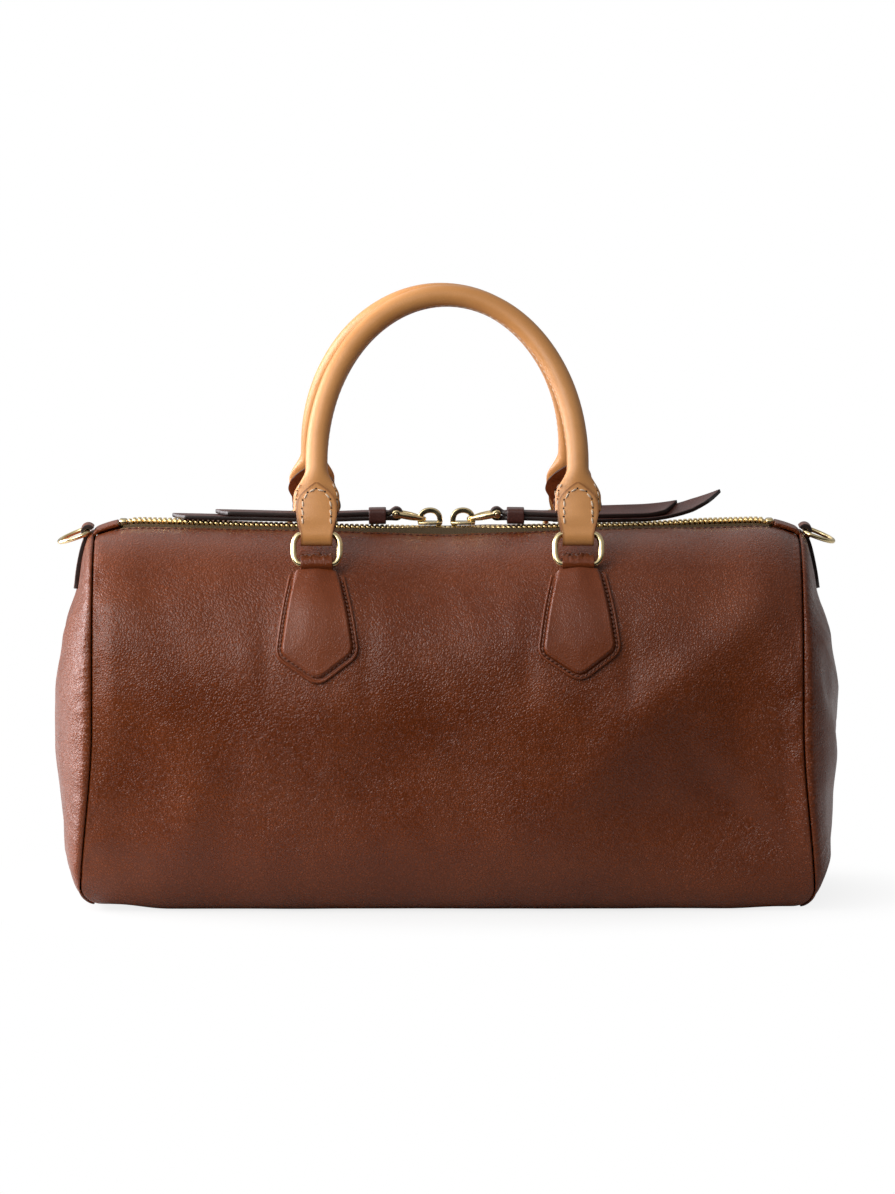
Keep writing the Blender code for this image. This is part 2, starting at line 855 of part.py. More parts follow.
def make_handle(word, face):
    line = tube_line()
    around = 12

    def tube(across, along):
        index = round(along * (len(line) - 1))
        here = Vector(line[index])
        before = Vector(line[max(0, index - 1)])
        after = Vector(line[min(len(line) - 1, index + 1)])
        if index in (0, len(line) - 1):
            along_way = Vector((0.0, 1.0 if index == 0 else -1.0))
        else:
            along_way = (after - before).normalized()
        wide, thick = sleeve_halves(here.y)
        turn = 2 * math.pi * across
        sideways = Vector((along_way.y, -along_way.x)) * wide * math.cos(turn)
        outwards = thick * math.sin(turn)
        return handle_point(face, here.x + sideways.x, ring_height + here.y + sideways.y, outwards)

    sleeve = sheet(
        f"{word}_handle_sleeve", around, len(line) - 1, tube, tube_leather, "tan_leather", flip=face < 0, closed=True
    )
    inner = [spot for spot in line if spot[1] > core_bottom]
    inner = [(inner[0][0], core_bottom), *inner, (inner[-1][0], core_bottom)]
    points = [handle_point(face, across, ring_height + up) for across, up in inner]
    core = wire(f"{word}_handle_core", points, core_thick, "cord")
    return sleeve, core


def tab_half_width(up):
    """Width of a handle tab: narrow at its fold, widest below its pointed arch."""
    if up <= tab_wide_height:
        return blend(tab_neck_width, tab_wide_width, ease(max(0.0, up) / tab_wide_height)) / 2
    if up <= tab_arch_height:
        return tab_wide_width / 2
    share = min(1.0, (up - tab_arch_height) / (tab_tip_height - tab_arch_height))
    return blend(tab_tip_width / 2, tab_wide_width / 2, (1 - share**1.7))


def make_tab(word, face, side):
    """A strap end folded round the ring's upper bar, with a lobe on each side of the handle's leg."""
    middle = side * fitting_place
    bend = wire_radius + gap + tab_leather / 2
    lobe = [tab_tip_height * share for share in tab_row_shares]
    fold_steps = 6
    total = 2 * (len(lobe) - 1) + fold_steps

    def lobe_out(up):
        return blend(bend, sleeve_halves(up)[1] + 2 * gap + tab_leather / 2, ease(up / tab_pinch_height))

    def tab(across, along):
        row = round(along * total)
        last = len(lobe) - 1
        if row <= last:
            up = lobe[row]
            sign = 1.0
        elif row < last + fold_steps:
            turn = math.pi * (row - last) / fold_steps
            x = middle + (2 * across - 1) * tab_neck_width / 2
            return handle_point(face, x, ring_height - bend * math.sin(turn), bend * math.cos(turn))
        else:
            up = lobe[total - row]
            sign = -1.0
        x = middle + (2 * across - 1) * tab_half_width(up)
        return handle_point(face, x, ring_height + up, sign * lobe_out(up))

    strap = sheet(f"{word}_tab", 4, total, tab, tab_leather, "tan_leather", flip=face > 0)
    strap.modifiers["thickness"].offset = 0.0

    def backing(across, along):
        up = blend(backing_bottom, backing_top, along)
        scaled = up * tab_tip_height / backing_top
        x = middle + (2 * across - 1) * tab_half_width(scaled)
        return handle_point(face, x, ring_height + up, -(lobe_out(up) + tab_leather / 2 + 2 * gap))

    lining = sheet(f"{word}_tab_backing", 4, 6, backing, backing_leather, "dark_leather", flip=face < 0)
    lining.modifiers["thickness"].offset = 1.0
    return strap, lining


def make_handles():
    for face_word, face in (("front", -1), ("rear", 1)):
        ring_pivot = pivot(f"{face_word}_ring_hinge", handle_point(face, 0.0, 0.0))
        handle_pivot = pivot(f"{face_word}_handle_hinge", handle_point(face, 0.0, ring_height))
        carry(ring_pivot, handle_pivot)
        carry(handle_pivot, *make_handle(face_word, face))
        for side_word, side in (("left", -1), ("right", 1)):
            word = f"{face_word}_{side_word}"
            make_fitting(word, face, side)
            carry(ring_pivot, make_ring(word, face, side))
            carry(handle_pivot, *make_tab(word, face, side))


# End rings


def make_end_ring(word, side):
    """A D-ring whose straight bar lies across the bag's end, in a leather holder sewn to the end."""
    straight = end_ring_width / 2 - end_ring_corner
    points = [(0.0, -straight), (0.0, 0.0), (0.0, straight)]
    for step in range(13):
        turn = math.pi / 2 - math.pi * step / 12
        points.append(
            (
                end_ring_corner * 0.7 + (end_ring_reach - end_ring_corner * 0.7) * math.cos(turn) ** 0.8,
                end_ring_width / 2 * math.sin(turn),
            )
        )
    place = [
        (
            side * (end_ring_out + reach * math.cos(end_ring_tilt)),
            across,
            end_ring_height - reach * math.sin(end_ring_tilt),
        )
        for reach, across in points
    ]
    ring = wire(f"{word}_end_ring", place, end_ring_wire, "pale_gold", closed=True)
    ring_pivot = pivot(f"{word}_end_ring_hinge", (side * end_ring_out, 0.0, end_ring_height))
    carry(ring_pivot, ring)

    bend = end_ring_wire / 2 + gap + holder_leather / 2
    fold_steps = 7
    tail_steps = 5
    total = fold_steps + tail_steps
    tail_top = end_ring_height - end_ring_wire

    def holder(across, along):
        row = round(along * total)
        y = (across - 0.5) * holder_width
        if row <= fold_steps:
            turn = blend(holder_start_angle, holder_end_angle, row / fold_steps)
            x = end_ring_out + bend * math.cos(turn)
            height = end_ring_height + bend * math.sin(turn)
        else:
            height = blend(tail_top, holder_bottom_height, (row - fold_steps) / tail_steps)
            x = end_out_at(height) + 2 * gap + holder_leather / 2
        return side * x, y, height

    strap = sheet(f"{word}_end_ring_holder", 1, total, holder, holder_leather, "brown_leather", flip=side < 0)
    strap.modifiers["thickness"].offset = 0.0


def main():
    clear_scene()
    make_shell()
    make_lining()
    make_base_board()
    make_zip()
    for word, side in (("left", -1), ("right", 1)):
        make_slider(word, side)
        make_end_ring(word, side)
    make_handles()


main()
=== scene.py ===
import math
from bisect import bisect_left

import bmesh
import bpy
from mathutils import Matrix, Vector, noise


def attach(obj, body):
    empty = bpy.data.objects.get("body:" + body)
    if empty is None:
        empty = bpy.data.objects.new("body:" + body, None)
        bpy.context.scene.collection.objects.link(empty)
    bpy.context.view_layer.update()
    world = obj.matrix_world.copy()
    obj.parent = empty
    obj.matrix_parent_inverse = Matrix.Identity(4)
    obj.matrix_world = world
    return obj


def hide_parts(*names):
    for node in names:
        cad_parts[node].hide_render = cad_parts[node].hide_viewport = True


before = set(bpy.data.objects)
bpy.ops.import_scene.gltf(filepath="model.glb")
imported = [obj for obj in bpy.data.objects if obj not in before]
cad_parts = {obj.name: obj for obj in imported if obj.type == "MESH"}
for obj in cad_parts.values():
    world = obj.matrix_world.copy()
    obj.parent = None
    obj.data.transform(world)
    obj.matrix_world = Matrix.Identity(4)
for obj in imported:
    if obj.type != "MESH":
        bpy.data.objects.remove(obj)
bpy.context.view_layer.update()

# %% [markdown]
# # A soft leather bag with two rolled handles
# The frame holds the plain solids of the bag: its panels, handles, rings and zip, each on the
# body that it moves with. This lesson dresses them. Each leather piece is cut, bent and sewn
# again with the softness of the real one, the metal is made round and bright, and every stitch
# and zip tooth is put where it belongs. Everything is in metres, and the bag's front faces -Y.

# %% [markdown]
# ## Habits that keep operators safe
# An operator acts on whatever is selected, so each step first lets go of everything and then
# takes hold of one piece. Modifiers are applied as soon as they are set, because a finished
# mesh is easier to reason about than a stack.

# %% Helpers for holding and finishing a piece
def let_go():
    bpy.ops.object.select_all(action="DESELECT")


def hold(piece):
    """Select one piece alone and make it the active one."""
    let_go()
    piece.select_set(True)
    bpy.context.view_layer.objects.active = piece


def edit_whole(piece):
    """Open a piece in edit mode, with all of it selected."""
    hold(piece)
    bpy.ops.object.mode_set(mode="EDIT")
    bpy.ops.mesh.select_all(action="SELECT")


def stop_editing():
    bpy.ops.object.mode_set(mode="OBJECT")


def apply_modifier(piece, kind, **settings):
    """Add a modifier, set it and apply it."""
    hold(piece)
    modifier = piece.modifiers.new(kind.lower(), kind)
    for setting, value in settings.items():
        setattr(modifier, setting, value)
    bpy.ops.object.modifier_apply(modifier=modifier.name)


def round_edges(piece, width, segments=2, sharper_than=50):
    """Round the edges that turn by more than an angle, in degrees."""
    apply_modifier(
        piece, "BEVEL", width=width, segments=segments, limit_method="ANGLE",
        angle_limit=math.radians(sharper_than),
    )


def smooth(piece, degrees):
    hold(piece)
    bpy.ops.object.shade_smooth_by_angle(angle=math.radians(degrees))


def start_piece(name):
    """Name the primitive that was just added and put its place into its mesh."""
    piece = bpy.context.object
    piece.name = name
    piece.data.name = name
    hold(piece)
    bpy.ops.object.transform_apply(location=True, rotation=True, scale=True)
    return piece


def settle(piece, body, finish, *nodes):
    """Give a piece its finish, the body that it rides on and the solids that it stands for."""
    if finish is not None:
        piece.data.materials.clear()
        piece.data.materials.append(finish)
    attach(piece, body)
    if nodes:
        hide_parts(*nodes)
    print(piece.name, len(piece.data.polygons), "faces on", body)


def blend(first, second, share):
    return first + (second - first) * share


def ease(share):
    """A share from 0 to 1 that starts and ends gently."""
    share = min(1.0, max(0.0, share))
    return share * share * (3 - 2 * share)


def bell(value, centre, width):
    """A soft bump of height 1 round a centre."""
    return math.exp(-(((value - centre) / width) ** 2))


# %% [markdown]
# ## The camera
# The photograph looks at the bag almost straight from the front and from a little above, from
# far away, so its lines hardly converge. A long lens five metres off gives that view.

# %% Camera
ELEVATION = math.radians(6.5)
AZIMUTH = math.radians(-0.5)
CAMERA_AWAY = 5.0
CAMERA_AIM = (0.0005, 0.0, 0.1416)
FRAME_SIDE = 36.0
camera_data = bpy.data.cameras.new("view_from_the_front")
camera_data.lens = 317.0
camera_data.sensor_width = FRAME_SIDE
camera_data.sensor_fit = "VERTICAL"
camera_data.sensor_height = FRAME_SIDE
camera_data.clip_end = 50.0
camera = bpy.data.objects.new("view_from_the_front", camera_data)
bpy.context.scene.collection.objects.link(camera)
level = math.cos(ELEVATION)
towards = Vector((math.sin(AZIMUTH) * level, -math.cos(AZIMUTH) * level, math.sin(ELEVATION)))
camera.location = Vector(CAMERA_AIM) + towards * CAMERA_AWAY
camera.rotation_euler = (-towards).to_track_quat("-Z", "Y").to_euler()
bpy.context.scene.camera = camera
bpy.context.scene.view_settings.view_transform = "Standard"
print("camera at", [round(side, 3) for side in camera.location])

# %% [markdown]
# ## Light
# The bag is lit by a soft lamp close by at the upper left and by another on its left end. The
# room is white, brightest on the left and dimmer overhead. The bag stands on a white table
# whose near edge is close, and beyond that edge the room is dark. That is why the leather is
# deepest where it stands upright, and paler above and below, where it mirrors the room and the
# table. The world gives the camera plain white and lights the bag like that room.

# %% Room and lamps
WHITE = (1.0, 1.0, 1.0, 1.0)
world = bpy.data.worlds.new("white room")
bpy.context.scene.world = world
world.use_nodes = True
world.node_tree.nodes.clear()


def add_node(tree, kind, **settings):
    made = tree.nodes.new(kind)
    for setting, value in settings.items():
        setattr(made, setting, value)
    return made


def add_range(tree, source, low, high, to_low, to_high, smooth_ends=True):
    """A node that maps one range of values to another."""
    kind = "SMOOTHSTEP" if smooth_ends else "LINEAR"
    made = add_node(tree, "ShaderNodeMapRange", interpolation_type=kind)
    for name, value in (("From Min", low), ("From Max", high), ("To Min", to_low), ("To Max", to_high)):
        made.inputs[name].default_value = value
    tree.links.new(source, made.inputs["Value"])
    return made.outputs[0]


def add_math(tree, operation, first, second):
    """A node that works on two values, each a number or the output of another node."""
    made = add_node(tree, "ShaderNodeMath", operation=operation)
    for place, value in enumerate((first, second)):
        if isinstance(value, (int, float)):
            made.inputs[place].default_value = value
        else:
            tree.links.new(value, made.inputs[place])
    return made.outputs[0]


def mix_shaders(tree, share, first, second, output_kind):
    """Mix two shaders by a share and send the mix to the tree's output."""
    mixed = add_node(tree, "ShaderNodeMixShader")
    tree.links.new(share, mixed.inputs[0])
    tree.links.new(first.outputs[0], mixed.inputs[1])
    tree.links.new(second.outputs[0], mixed.inputs[2])
    tree.links.new(mixed.outputs[0], add_node(tree, output_kind).inputs["Surface"])


def make_room(tree):
    """Light that depends on where it comes from: the lower part is dark in front of the table."""
    direction = add_node(tree, "ShaderNodeTexCoord")
    split = add_node(tree, "ShaderNodeSeparateXYZ")
    tree.links.new(direction.outputs["Generated"], split.inputs[0])
    behind = add_range(tree, split.outputs["Y"], -0.3, 0.5, 0.0, 0.30)
    bright_left = add_range(tree, split.outputs["X"], -0.7, 0.7, 1.14, 0.32)
    dim_overhead = add_range(tree, split.outputs["Z"], 0.65, 1.0, 1.0, 0.48)
    high = add_math(tree, "MULTIPLY", bright_left, dim_overhead)
    share = add_range(tree, split.outputs["Z"], 0.10, 0.60, 0.0, 1.0)
    low = add_math(tree, "MULTIPLY", behind, add_math(tree, "SUBTRACT", 1.0, share))
    lighting = add_node(tree, "ShaderNodeBackground")
    lighting.inputs["Color"].default_value = WHITE
    strength = add_math(tree, "ADD", low, add_math(tree, "MULTIPLY", high, share))
    tree.links.new(strength, lighting.inputs["Strength"])
    white = add_node(tree, "ShaderNodeBackground")
    white.inputs["Color"].default_value = WHITE
    rays = add_node(tree, "ShaderNodeLightPath")
    seen = add_math(tree, "MAXIMUM", rays.outputs["Is Camera Ray"], rays.outputs["Is Transmission Ray"])
    mix_shaders(tree, seen, lighting, white, "ShaderNodeOutputWorld")


def add_lamp(name, place, aim, side, power, colour):
    """A soft square lamp that looks at a point."""
    lamp_data = bpy.data.lights.new(name, "AREA")
    lamp_data.shape = "SQUARE"
    lamp_data.size = side
    lamp_data.energy = power
    lamp_data.color = colour
    lamp = bpy.data.objects.new(name, lamp_data)
    lamp.location = place
    lamp.rotation_euler = (Vector(aim) - Vector(place)).to_track_quat("-Z", "Y").to_euler()
    bpy.context.scene.collection.objects.link(lamp)


make_room(world.node_tree)
add_lamp("key_upper_left", (-0.52, -0.54, 0.57), (0.0, -0.05, 0.09), 0.6, 4.6, (1.0, 0.97, 0.94))
add_lamp("left_side", (-1.2, 0.25, 0.35), (-0.15, 0.0, 0.10), 1.0, 26.0, (1.0, 0.95, 0.98))
print("two lamps and a white room")

# %% [markdown]
# ## The table
# A white table carries the bag. The camera sees it as almost pure white, and near the bag part
# of what it sees is the lit surface, which keeps the soft shadow. For the light that goes on to
# the bag it is a table that ends a little way in front.

# %% Table
def make_table_white():
    """White paper to the camera, and to the bag a lit table that ends a little way in front."""
    finish = bpy.data.materials.new("table white")
    finish.use_nodes = True
    tree = finish.node_tree
    tree.nodes.clear()
    place = add_node(tree, "ShaderNodeTexCoord").outputs["Object"]
    split = add_node(tree, "ShaderNodeSeparateXYZ")
    tree.links.new(place, split.inputs[0])
    lit = add_range(tree, split.outputs["Y"], -0.24, -0.15, 0.02, 0.66)
    from_camera = add_node(tree, "ShaderNodeLightPath").outputs["Is Camera Ray"]
    paper = add_math(tree, "MAXIMUM", lit, add_math(tree, "MULTIPLY", from_camera, 0.9))
    grey = add_node(tree, "ShaderNodeCombineColor")
    for channel in range(3):
        tree.links.new(paper, grey.inputs[channel])
    surface = add_node(tree, "ShaderNodeBsdfDiffuse")
    tree.links.new(grey.outputs[0], surface.inputs["Color"])
    drawn_in = add_node(tree, "ShaderNodeVectorMath", operation="MULTIPLY")
    tree.links.new(place, drawn_in.inputs[0])
    drawn_in.inputs[1].default_value = (0.6, 1.0, 1.0)
    away = add_node(tree, "ShaderNodeVectorMath", operation="LENGTH")
    tree.links.new(drawn_in.outputs[0], away.inputs[0])
    plain = add_range(tree, away.outputs["Value"], 0.085, 0.160, 0.80, 1.0)
    glow = add_node(tree, "ShaderNodeEmission")
    glow.inputs["Color"].default_value = WHITE
    shown_white = add_math(tree, "MULTIPLY", from_camera, plain)
    mix_shaders(tree, shown_white, surface, glow, "ShaderNodeOutputMaterial")
    return finish


let_go()
bpy.ops.mesh.primitive_plane_add(size=44.0, location=(0.0, 0.0, -0.0001))
table = start_piece("table")
table.data.materials.append(make_table_white())
print("the table is", table.data.materials[0].name)

# %% [markdown]
# ## Leather, as a finish
# Bag leather has three scales of relief: pebbles about a millimetre across, fine creases that
# run between them, and soft mottling over centimetres where it was handled. All three come
# from one group, which puts out a height and masks, and each leather sets its own sizes and
# colours. The pattern reads the piece's own place in space, so it never slides or stretches.

# %% The grain group
def make_grain_group():
    grain = bpy.data.node_groups.new("leather grain", "ShaderNodeTree")
    face = grain.interface
    face.new_socket(name="Place", in_out="INPUT", socket_type="NodeSocketVector")
    for name in ("Pebbles per metre", "Creases per metre", "Crease amount"):
        face.new_socket(name=name, in_out="INPUT", socket_type="NodeSocketFloat")
    for name in ("Height", "Valleys", "Creases", "Mottle"):
        face.new_socket(name=name, in_out="OUTPUT", socket_type="NodeSocketFloat")
    inside = add_node(grain, "NodeGroupInput").outputs
    outside = add_node(grain, "NodeGroupOutput").inputs
    link = grain.links.new

    def add_noise(source, scale, detail, roughness=0.5, distortion=0.0):
        made = add_node(grain, "ShaderNodeTexNoise")
        made.inputs["Detail"].default_value = detail
        made.inputs["Roughness"].default_value = roughness
        made.inputs["Distortion"].default_value = distortion
        link(source, made.inputs["Vector"])
        if isinstance(scale, float):
            made.inputs["Scale"].default_value = scale
        else:
            link(scale, made.inputs["Scale"])
        return made.outputs

    wander = add_noise(inside["Place"], 300.0, 2.0)
    centred = add_node(grain, "ShaderNodeVectorMath", operation="SUBTRACT")
    link(wander["Color"], centred.inputs[0])
    centred.inputs[1].default_value = (0.5, 0.5, 0.5)
    small = add_node(grain, "ShaderNodeVectorMath", operation="SCALE")
    link(centred.outputs[0], small.inputs[0])
    small.inputs["Scale"].default_value = 0.0022
    moved = add_node(grain, "ShaderNodeVectorMath", operation="ADD")
    link(inside["Place"], moved.inputs[0])
    link(small.outputs[0], moved.inputs[1])

    def add_pebbles(scale, wide):
        cells = add_node(grain, "ShaderNodeTexVoronoi", feature="DISTANCE_TO_EDGE")
        link(moved.outputs[0], cells.inputs["Vector"])
        link(scale, cells.inputs["Scale"])
        return add_range(grain, cells.outputs["Distance"], 0.0, wide, 0.0, 1.0)

    fine = add_pebbles(inside["Pebbles per metre"], 0.40)
    coarse = add_pebbles(add_math(grain, "MULTIPLY", inside["Pebbles per metre"], 0.56), 0.26)
    where_coarse = add_noise(inside["Place"], 17.0, 2.0)
    coarse_share = add_range(grain, where_coarse["Fac"], 0.32, 0.68, 0.2, 0.75)
    coarse_part = add_math(grain, "MULTIPLY", coarse_share, add_math(grain, "SUBTRACT", 1.0, coarse))

    folds = add_noise(moved.outputs[0], inside["Creases per metre"], 5.0, 0.62, 0.9)
    ridge = add_math(grain, "ABSOLUTE", add_math(grain, "SUBTRACT", folds["Fac"], 0.5), 0.0)
    crease = add_range(grain, ridge, 0.0, 0.040, 1.0, 0.0)
    where = add_noise(inside["Place"], 22.0, 2.0)
    creased_here = add_range(grain, where["Fac"], 0.28, 0.78, 0.0, 1.0)
    creased = add_math(grain, "MULTIPLY", crease, creased_here)
    amount = add_math(grain, "MULTIPLY", creased, inside["Crease amount"])
    mottle = add_noise(inside["Place"], 26.0, 4.0, 0.6)

    valleys = add_math(grain, "MAXIMUM", add_math(grain, "SUBTRACT", 1.0, fine), coarse_part)
    height = add_math(grain, "SUBTRACT", fine, add_math(grain, "MULTIPLY", coarse_part, 1.1))
    height = add_math(grain, "SUBTRACT", height, add_math(grain, "MULTIPLY", amount, 1.5))
    results = (("Height", height), ("Valleys", valleys), ("Creases", amount), ("Mottle", mottle["Fac"]))
    for name, result in results:
        link(result, outside[name])
    return grain


grain_group = make_grain_group()
print("grain group with", len(grain_group.nodes), "nodes")

# %% [markdown]
# ## One leather from the group
# The colour mixes a deep and a worn tone by the mottling, darkens in the valleys with painted
# shade and lightens along the creases. An attribute of the mesh says where the leather takes its
# border colour: on dyed and rubbed edges, and as painted shade in sunk channels and shaded folds.
# The mottling drives the roughness too, so the leather shines unevenly, as from handling.

# %% Leather finishes
VALLEY_SHADE_TONE = 0.35
CREASE_TONE = 1.9
CREASE_LIGHT = 0.06
RELIEF_STRENGTH = 0.8
COAT_ROUGHNESS = 0.30


def start_finish(name):
    """A new material, with its node tree, its shader and the place of a point on the bag."""
    made = bpy.data.materials.new(name)
    made.use_nodes = True
    tree = made.node_tree
    place = add_node(tree, "ShaderNodeTexCoord").outputs["Object"]
    return made, tree, tree.nodes["Principled BSDF"], place


def add_tint(tree, first, second, share):
    """Mix two colours by a share. Each is three numbers or the output of another node."""
    made = add_node(tree, "ShaderNodeMix", data_type="RGBA")
    for name, colour in (("A", first), ("B", second)):
        if isinstance(colour, tuple):
            made.inputs[name].default_value = (*colour, 1.0)
        else:
            tree.links.new(colour, made.inputs[name])
    tree.links.new(share, made.inputs["Factor"])
    return made.outputs["Result"]


def add_relief(tree, shader, height, distance, strength=1.0):
    """Raise a shader's surface by a height, whose full value stands for a distance in metres."""
    raised = add_node(tree, "ShaderNodeBump")
    raised.inputs["Distance"].default_value = distance
    raised.inputs["Strength"].default_value = strength
    tree.links.new(height, raised.inputs["Height"])
    tree.links.new(raised.outputs[0], shader.inputs["Normal"])


def scaled(colour, factor):
    return tuple(min(1.0, side * factor) for side in colour)


def make_leather(
    name, deep, worn, rough, pebbles=780.0, creases=120.0, crease_amount=0.4, relief=0.00018,
    valley_shade_amount=0.55, gloss=0.5, coat=0.0, border=(0.02, 0.01, 0.008),
):
    """A leather of two linear colours, with its grain height in metres and its border colour."""
    made, tree, shader, place = start_finish(name)
    grain = add_node(tree, "ShaderNodeGroup", node_tree=grain_group)
    tree.links.new(place, grain.inputs["Place"])
    grain.inputs["Pebbles per metre"].default_value = pebbles
    grain.inputs["Creases per metre"].default_value = creases
    grain.inputs["Crease amount"].default_value = crease_amount
    mottle = grain.outputs["Mottle"]
    # Painted shade: the colour darkens in the grain's valleys, where shade falls.
    painted_valley_shade = add_math(tree, "MULTIPLY", grain.outputs["Valleys"], valley_shade_amount)
    pale = add_math(tree, "MULTIPLY", grain.outputs["Creases"], CREASE_LIGHT)
    # Edge dye and painted shade: this attribute gives the border colour on dyed and rubbed edges, and as
    # painted shade in a patch's sunk channel and on a strap's shaded fold.
    edge_dye_and_shade = add_node(tree, "ShaderNodeAttribute", attribute_name="edge_dye_and_shade").outputs["Fac"]
    colour = add_tint(tree, deep, worn, add_range(tree, mottle, 0.34, 0.68, 0.0, 1.0))
    colour = add_tint(tree, colour, scaled(deep, VALLEY_SHADE_TONE), painted_valley_shade)
    colour = add_tint(tree, colour, scaled(worn, CREASE_TONE), pale)
    colour = add_tint(tree, colour, border, edge_dye_and_shade)
    tree.links.new(colour, shader.inputs["Base Color"])
    roughness = add_range(tree, mottle, 0.3, 0.7, *rough, smooth_ends=False)
    tree.links.new(roughness, shader.inputs["Roughness"])
    add_relief(tree, shader, grain.outputs["Height"], relief, RELIEF_STRENGTH)
    shader.inputs["Specular IOR Level"].default_value = gloss
    shader.inputs["Coat Weight"].default_value = coat
    shader.inputs["Coat Roughness"].default_value = COAT_ROUGHNESS
    return made


brown_leather = make_leather(
    "brown leather", (0.190, 0.038, 0.0075), (0.240, 0.053, 0.012), (0.25, 0.32), gloss=0.38,
)
# Its border colour is dye on the cut edge, and painted shade in a patch's channel and on a strap's fold.
patch_leather = make_leather(
    "patch leather", (0.185, 0.039, 0.009), (0.235, 0.054, 0.014), (0.24, 0.31), valley_shade_amount=0.35,
    pebbles=950.0, creases=140.0, crease_amount=0.3, relief=0.00007, gloss=0.38,
    border=(0.10, 0.026, 0.008),
)
dark_leather = make_leather(
    "dark pull leather", (0.085, 0.024, 0.017), (0.135, 0.044, 0.033), (0.40, 0.50),
    pebbles=1100.0, crease_amount=0.2, relief=0.00005,
)
tan_leather = make_leather(
    "tan leather", (0.68, 0.305, 0.095), (0.77, 0.36, 0.122), (0.32, 0.42), valley_shade_amount=0.16,
    pebbles=1500.0, creases=70.0, crease_amount=0.12, relief=0.00003, border=(0.30, 0.105, 0.028),
)
edge_tan = make_leather(
    "burnished edge", (0.30, 0.115, 0.030), (0.40, 0.165, 0.048), (0.26, 0.36), valley_shade_amount=0.1,
    pebbles=1500.0, crease_amount=0.1, relief=0.00002, coat=0.3,
)
edge_dark = make_leather(
    "painted edge", (0.016, 0.010, 0.009), (0.030, 0.018, 0.016), (0.30, 0.40), valley_shade_amount=0.1,
    pebbles=1500.0, crease_amount=0.1, relief=0.00002,
)
print("six leathers")

# %% [markdown]
# ## Metal, thread and cloth
# The metal is a pale gold plating, polished and slightly cloudy where fingers touch it. Thread
# is twisted, so its colour and height run in fine slanted bands. The zip's tape and the lining
# are woven, which a pair of crossed waves shows.

# %% Metal, thread and cloth finishes
THREAD_TWIST = 900.0
THREAD_RELIEF = 0.00003


def make_metal(name, colour, rough):
    """A polished metal, slightly cloudy in its colour and its shine."""
    made, tree, shader, place = start_finish(name)
    shader.inputs["Metallic"].default_value = 1.0
    cloud = add_node(tree, "ShaderNodeTexNoise")
    cloud.inputs["Scale"].default_value = 420.0
    cloud.inputs["Detail"].default_value = 5.0
    tree.links.new(place, cloud.inputs["Vector"])
    clouded = cloud.outputs["Fac"]
    roughness = add_range(tree, clouded, 0.0, 1.0, rough * 0.6, rough * 1.5, smooth_ends=False)
    tree.links.new(roughness, shader.inputs["Roughness"])
    tint = add_tint(tree, scaled(colour, 0.88), scaled(colour, 1.06), clouded)
    tree.links.new(tint, shader.inputs["Base Color"])
    add_relief(tree, shader, clouded, 0.00001, 0.35)
    return made


def make_weave(name, dark, light, threads, rough=0.85, relief=0.00008):
    """A woven or twisted finish: waves along X, crossed by slanting ones."""
    made, tree, shader, place = start_finish(name)
    shader.inputs["Roughness"].default_value = rough
    waves = []
    for direction in ("X", "DIAGONAL"):
        wave = add_node(tree, "ShaderNodeTexWave", bands_direction=direction)
        wave.inputs["Scale"].default_value = threads
        wave.inputs["Distortion"].default_value = 0.6
        wave.inputs["Detail"].default_value = 1.0
        tree.links.new(place, wave.inputs["Vector"])
        waves.append(wave.outputs["Fac"])
    crossed = add_math(tree, "MULTIPLY", *waves)
    tree.links.new(add_tint(tree, dark, light, crossed), shader.inputs["Base Color"])
    add_relief(tree, shader, crossed, relief)
    return made


def make_thread(name, dark, light, rough=0.6, relief=THREAD_RELIEF):
    return make_weave(name, dark, light, THREAD_TWIST, rough, relief)


pale_gold = make_metal("pale gold", (0.94, 0.76, 0.42), 0.20)
tooth_gold = make_metal("zip tooth gold", (0.92, 0.70, 0.34), 0.26)
zip_cloth = make_weave("zip tape", (0.060, 0.036, 0.014), (0.150, 0.098, 0.045), 420.0)
lining_cloth = make_weave("lining cloth", (0.20, 0.14, 0.09), (0.34, 0.25, 0.17), 260.0)
board_fibre = make_weave("base board", (0.16, 0.12, 0.08), (0.26, 0.20, 0.14), 150.0)
cotton_cord = make_weave("cotton cord", (0.50, 0.43, 0.33), (0.68, 0.60, 0.48), 180.0)
cream_thread = make_thread("cream thread", (0.62, 0.47, 0.33), (0.88, 0.74, 0.58))
brown_thread = make_thread("brown thread", (0.035, 0.010, 0.006), (0.085, 0.030, 0.018))
patch_thread = make_thread("patch thread", (0.120, 0.036, 0.018), (0.230, 0.080, 0.045), 0.55)
# Painted shade: the dark colour of the marks that stand for stitch holes.
needle_hole_shade = make_thread("needle hole shade", (0.030, 0.012, 0.006), (0.055, 0.024, 0.012), 0.8, 0.00001)
print("metal, thread and cloth ready")

# %% [markdown]
# ## The bag's outline
# Every leather piece of the body lies on one outline, so it is worked out once. Seen from the
# end, the bag rises from a flat base, swells to its widest well below the middle, and rounds in
# to the zip. `walk` gives the point that lies a given way along that outline from the zip, so a
# patch or a stitch can be placed as on the flat leather.

# %% Outline of the bag
SEAM_HALF = 0.167
BAG_HALF_DEPTH = 0.084
END_DEPTH_LOSS = 0.004
TOP = 0.1743
ZIP_RISE = 0.0035
KNEE = 0.145
END_DROP = 0.005
WIDEST = 0.070
BASE_FLAT_HALF = 0.054
BASE_SEAM_HALF = 0.050
UPPER_ROUNDNESS = 2 / 2.6
LOWER_ROUNDNESS = 2 / 2.3
FLARE = 0.006
FLARE_HEIGHT = 0.090
ARC_STEPS = 60
TABLE_PITCH = 0.0004
GAP = 0.0003
LEATHER = 0.0018
outline_tables = {}


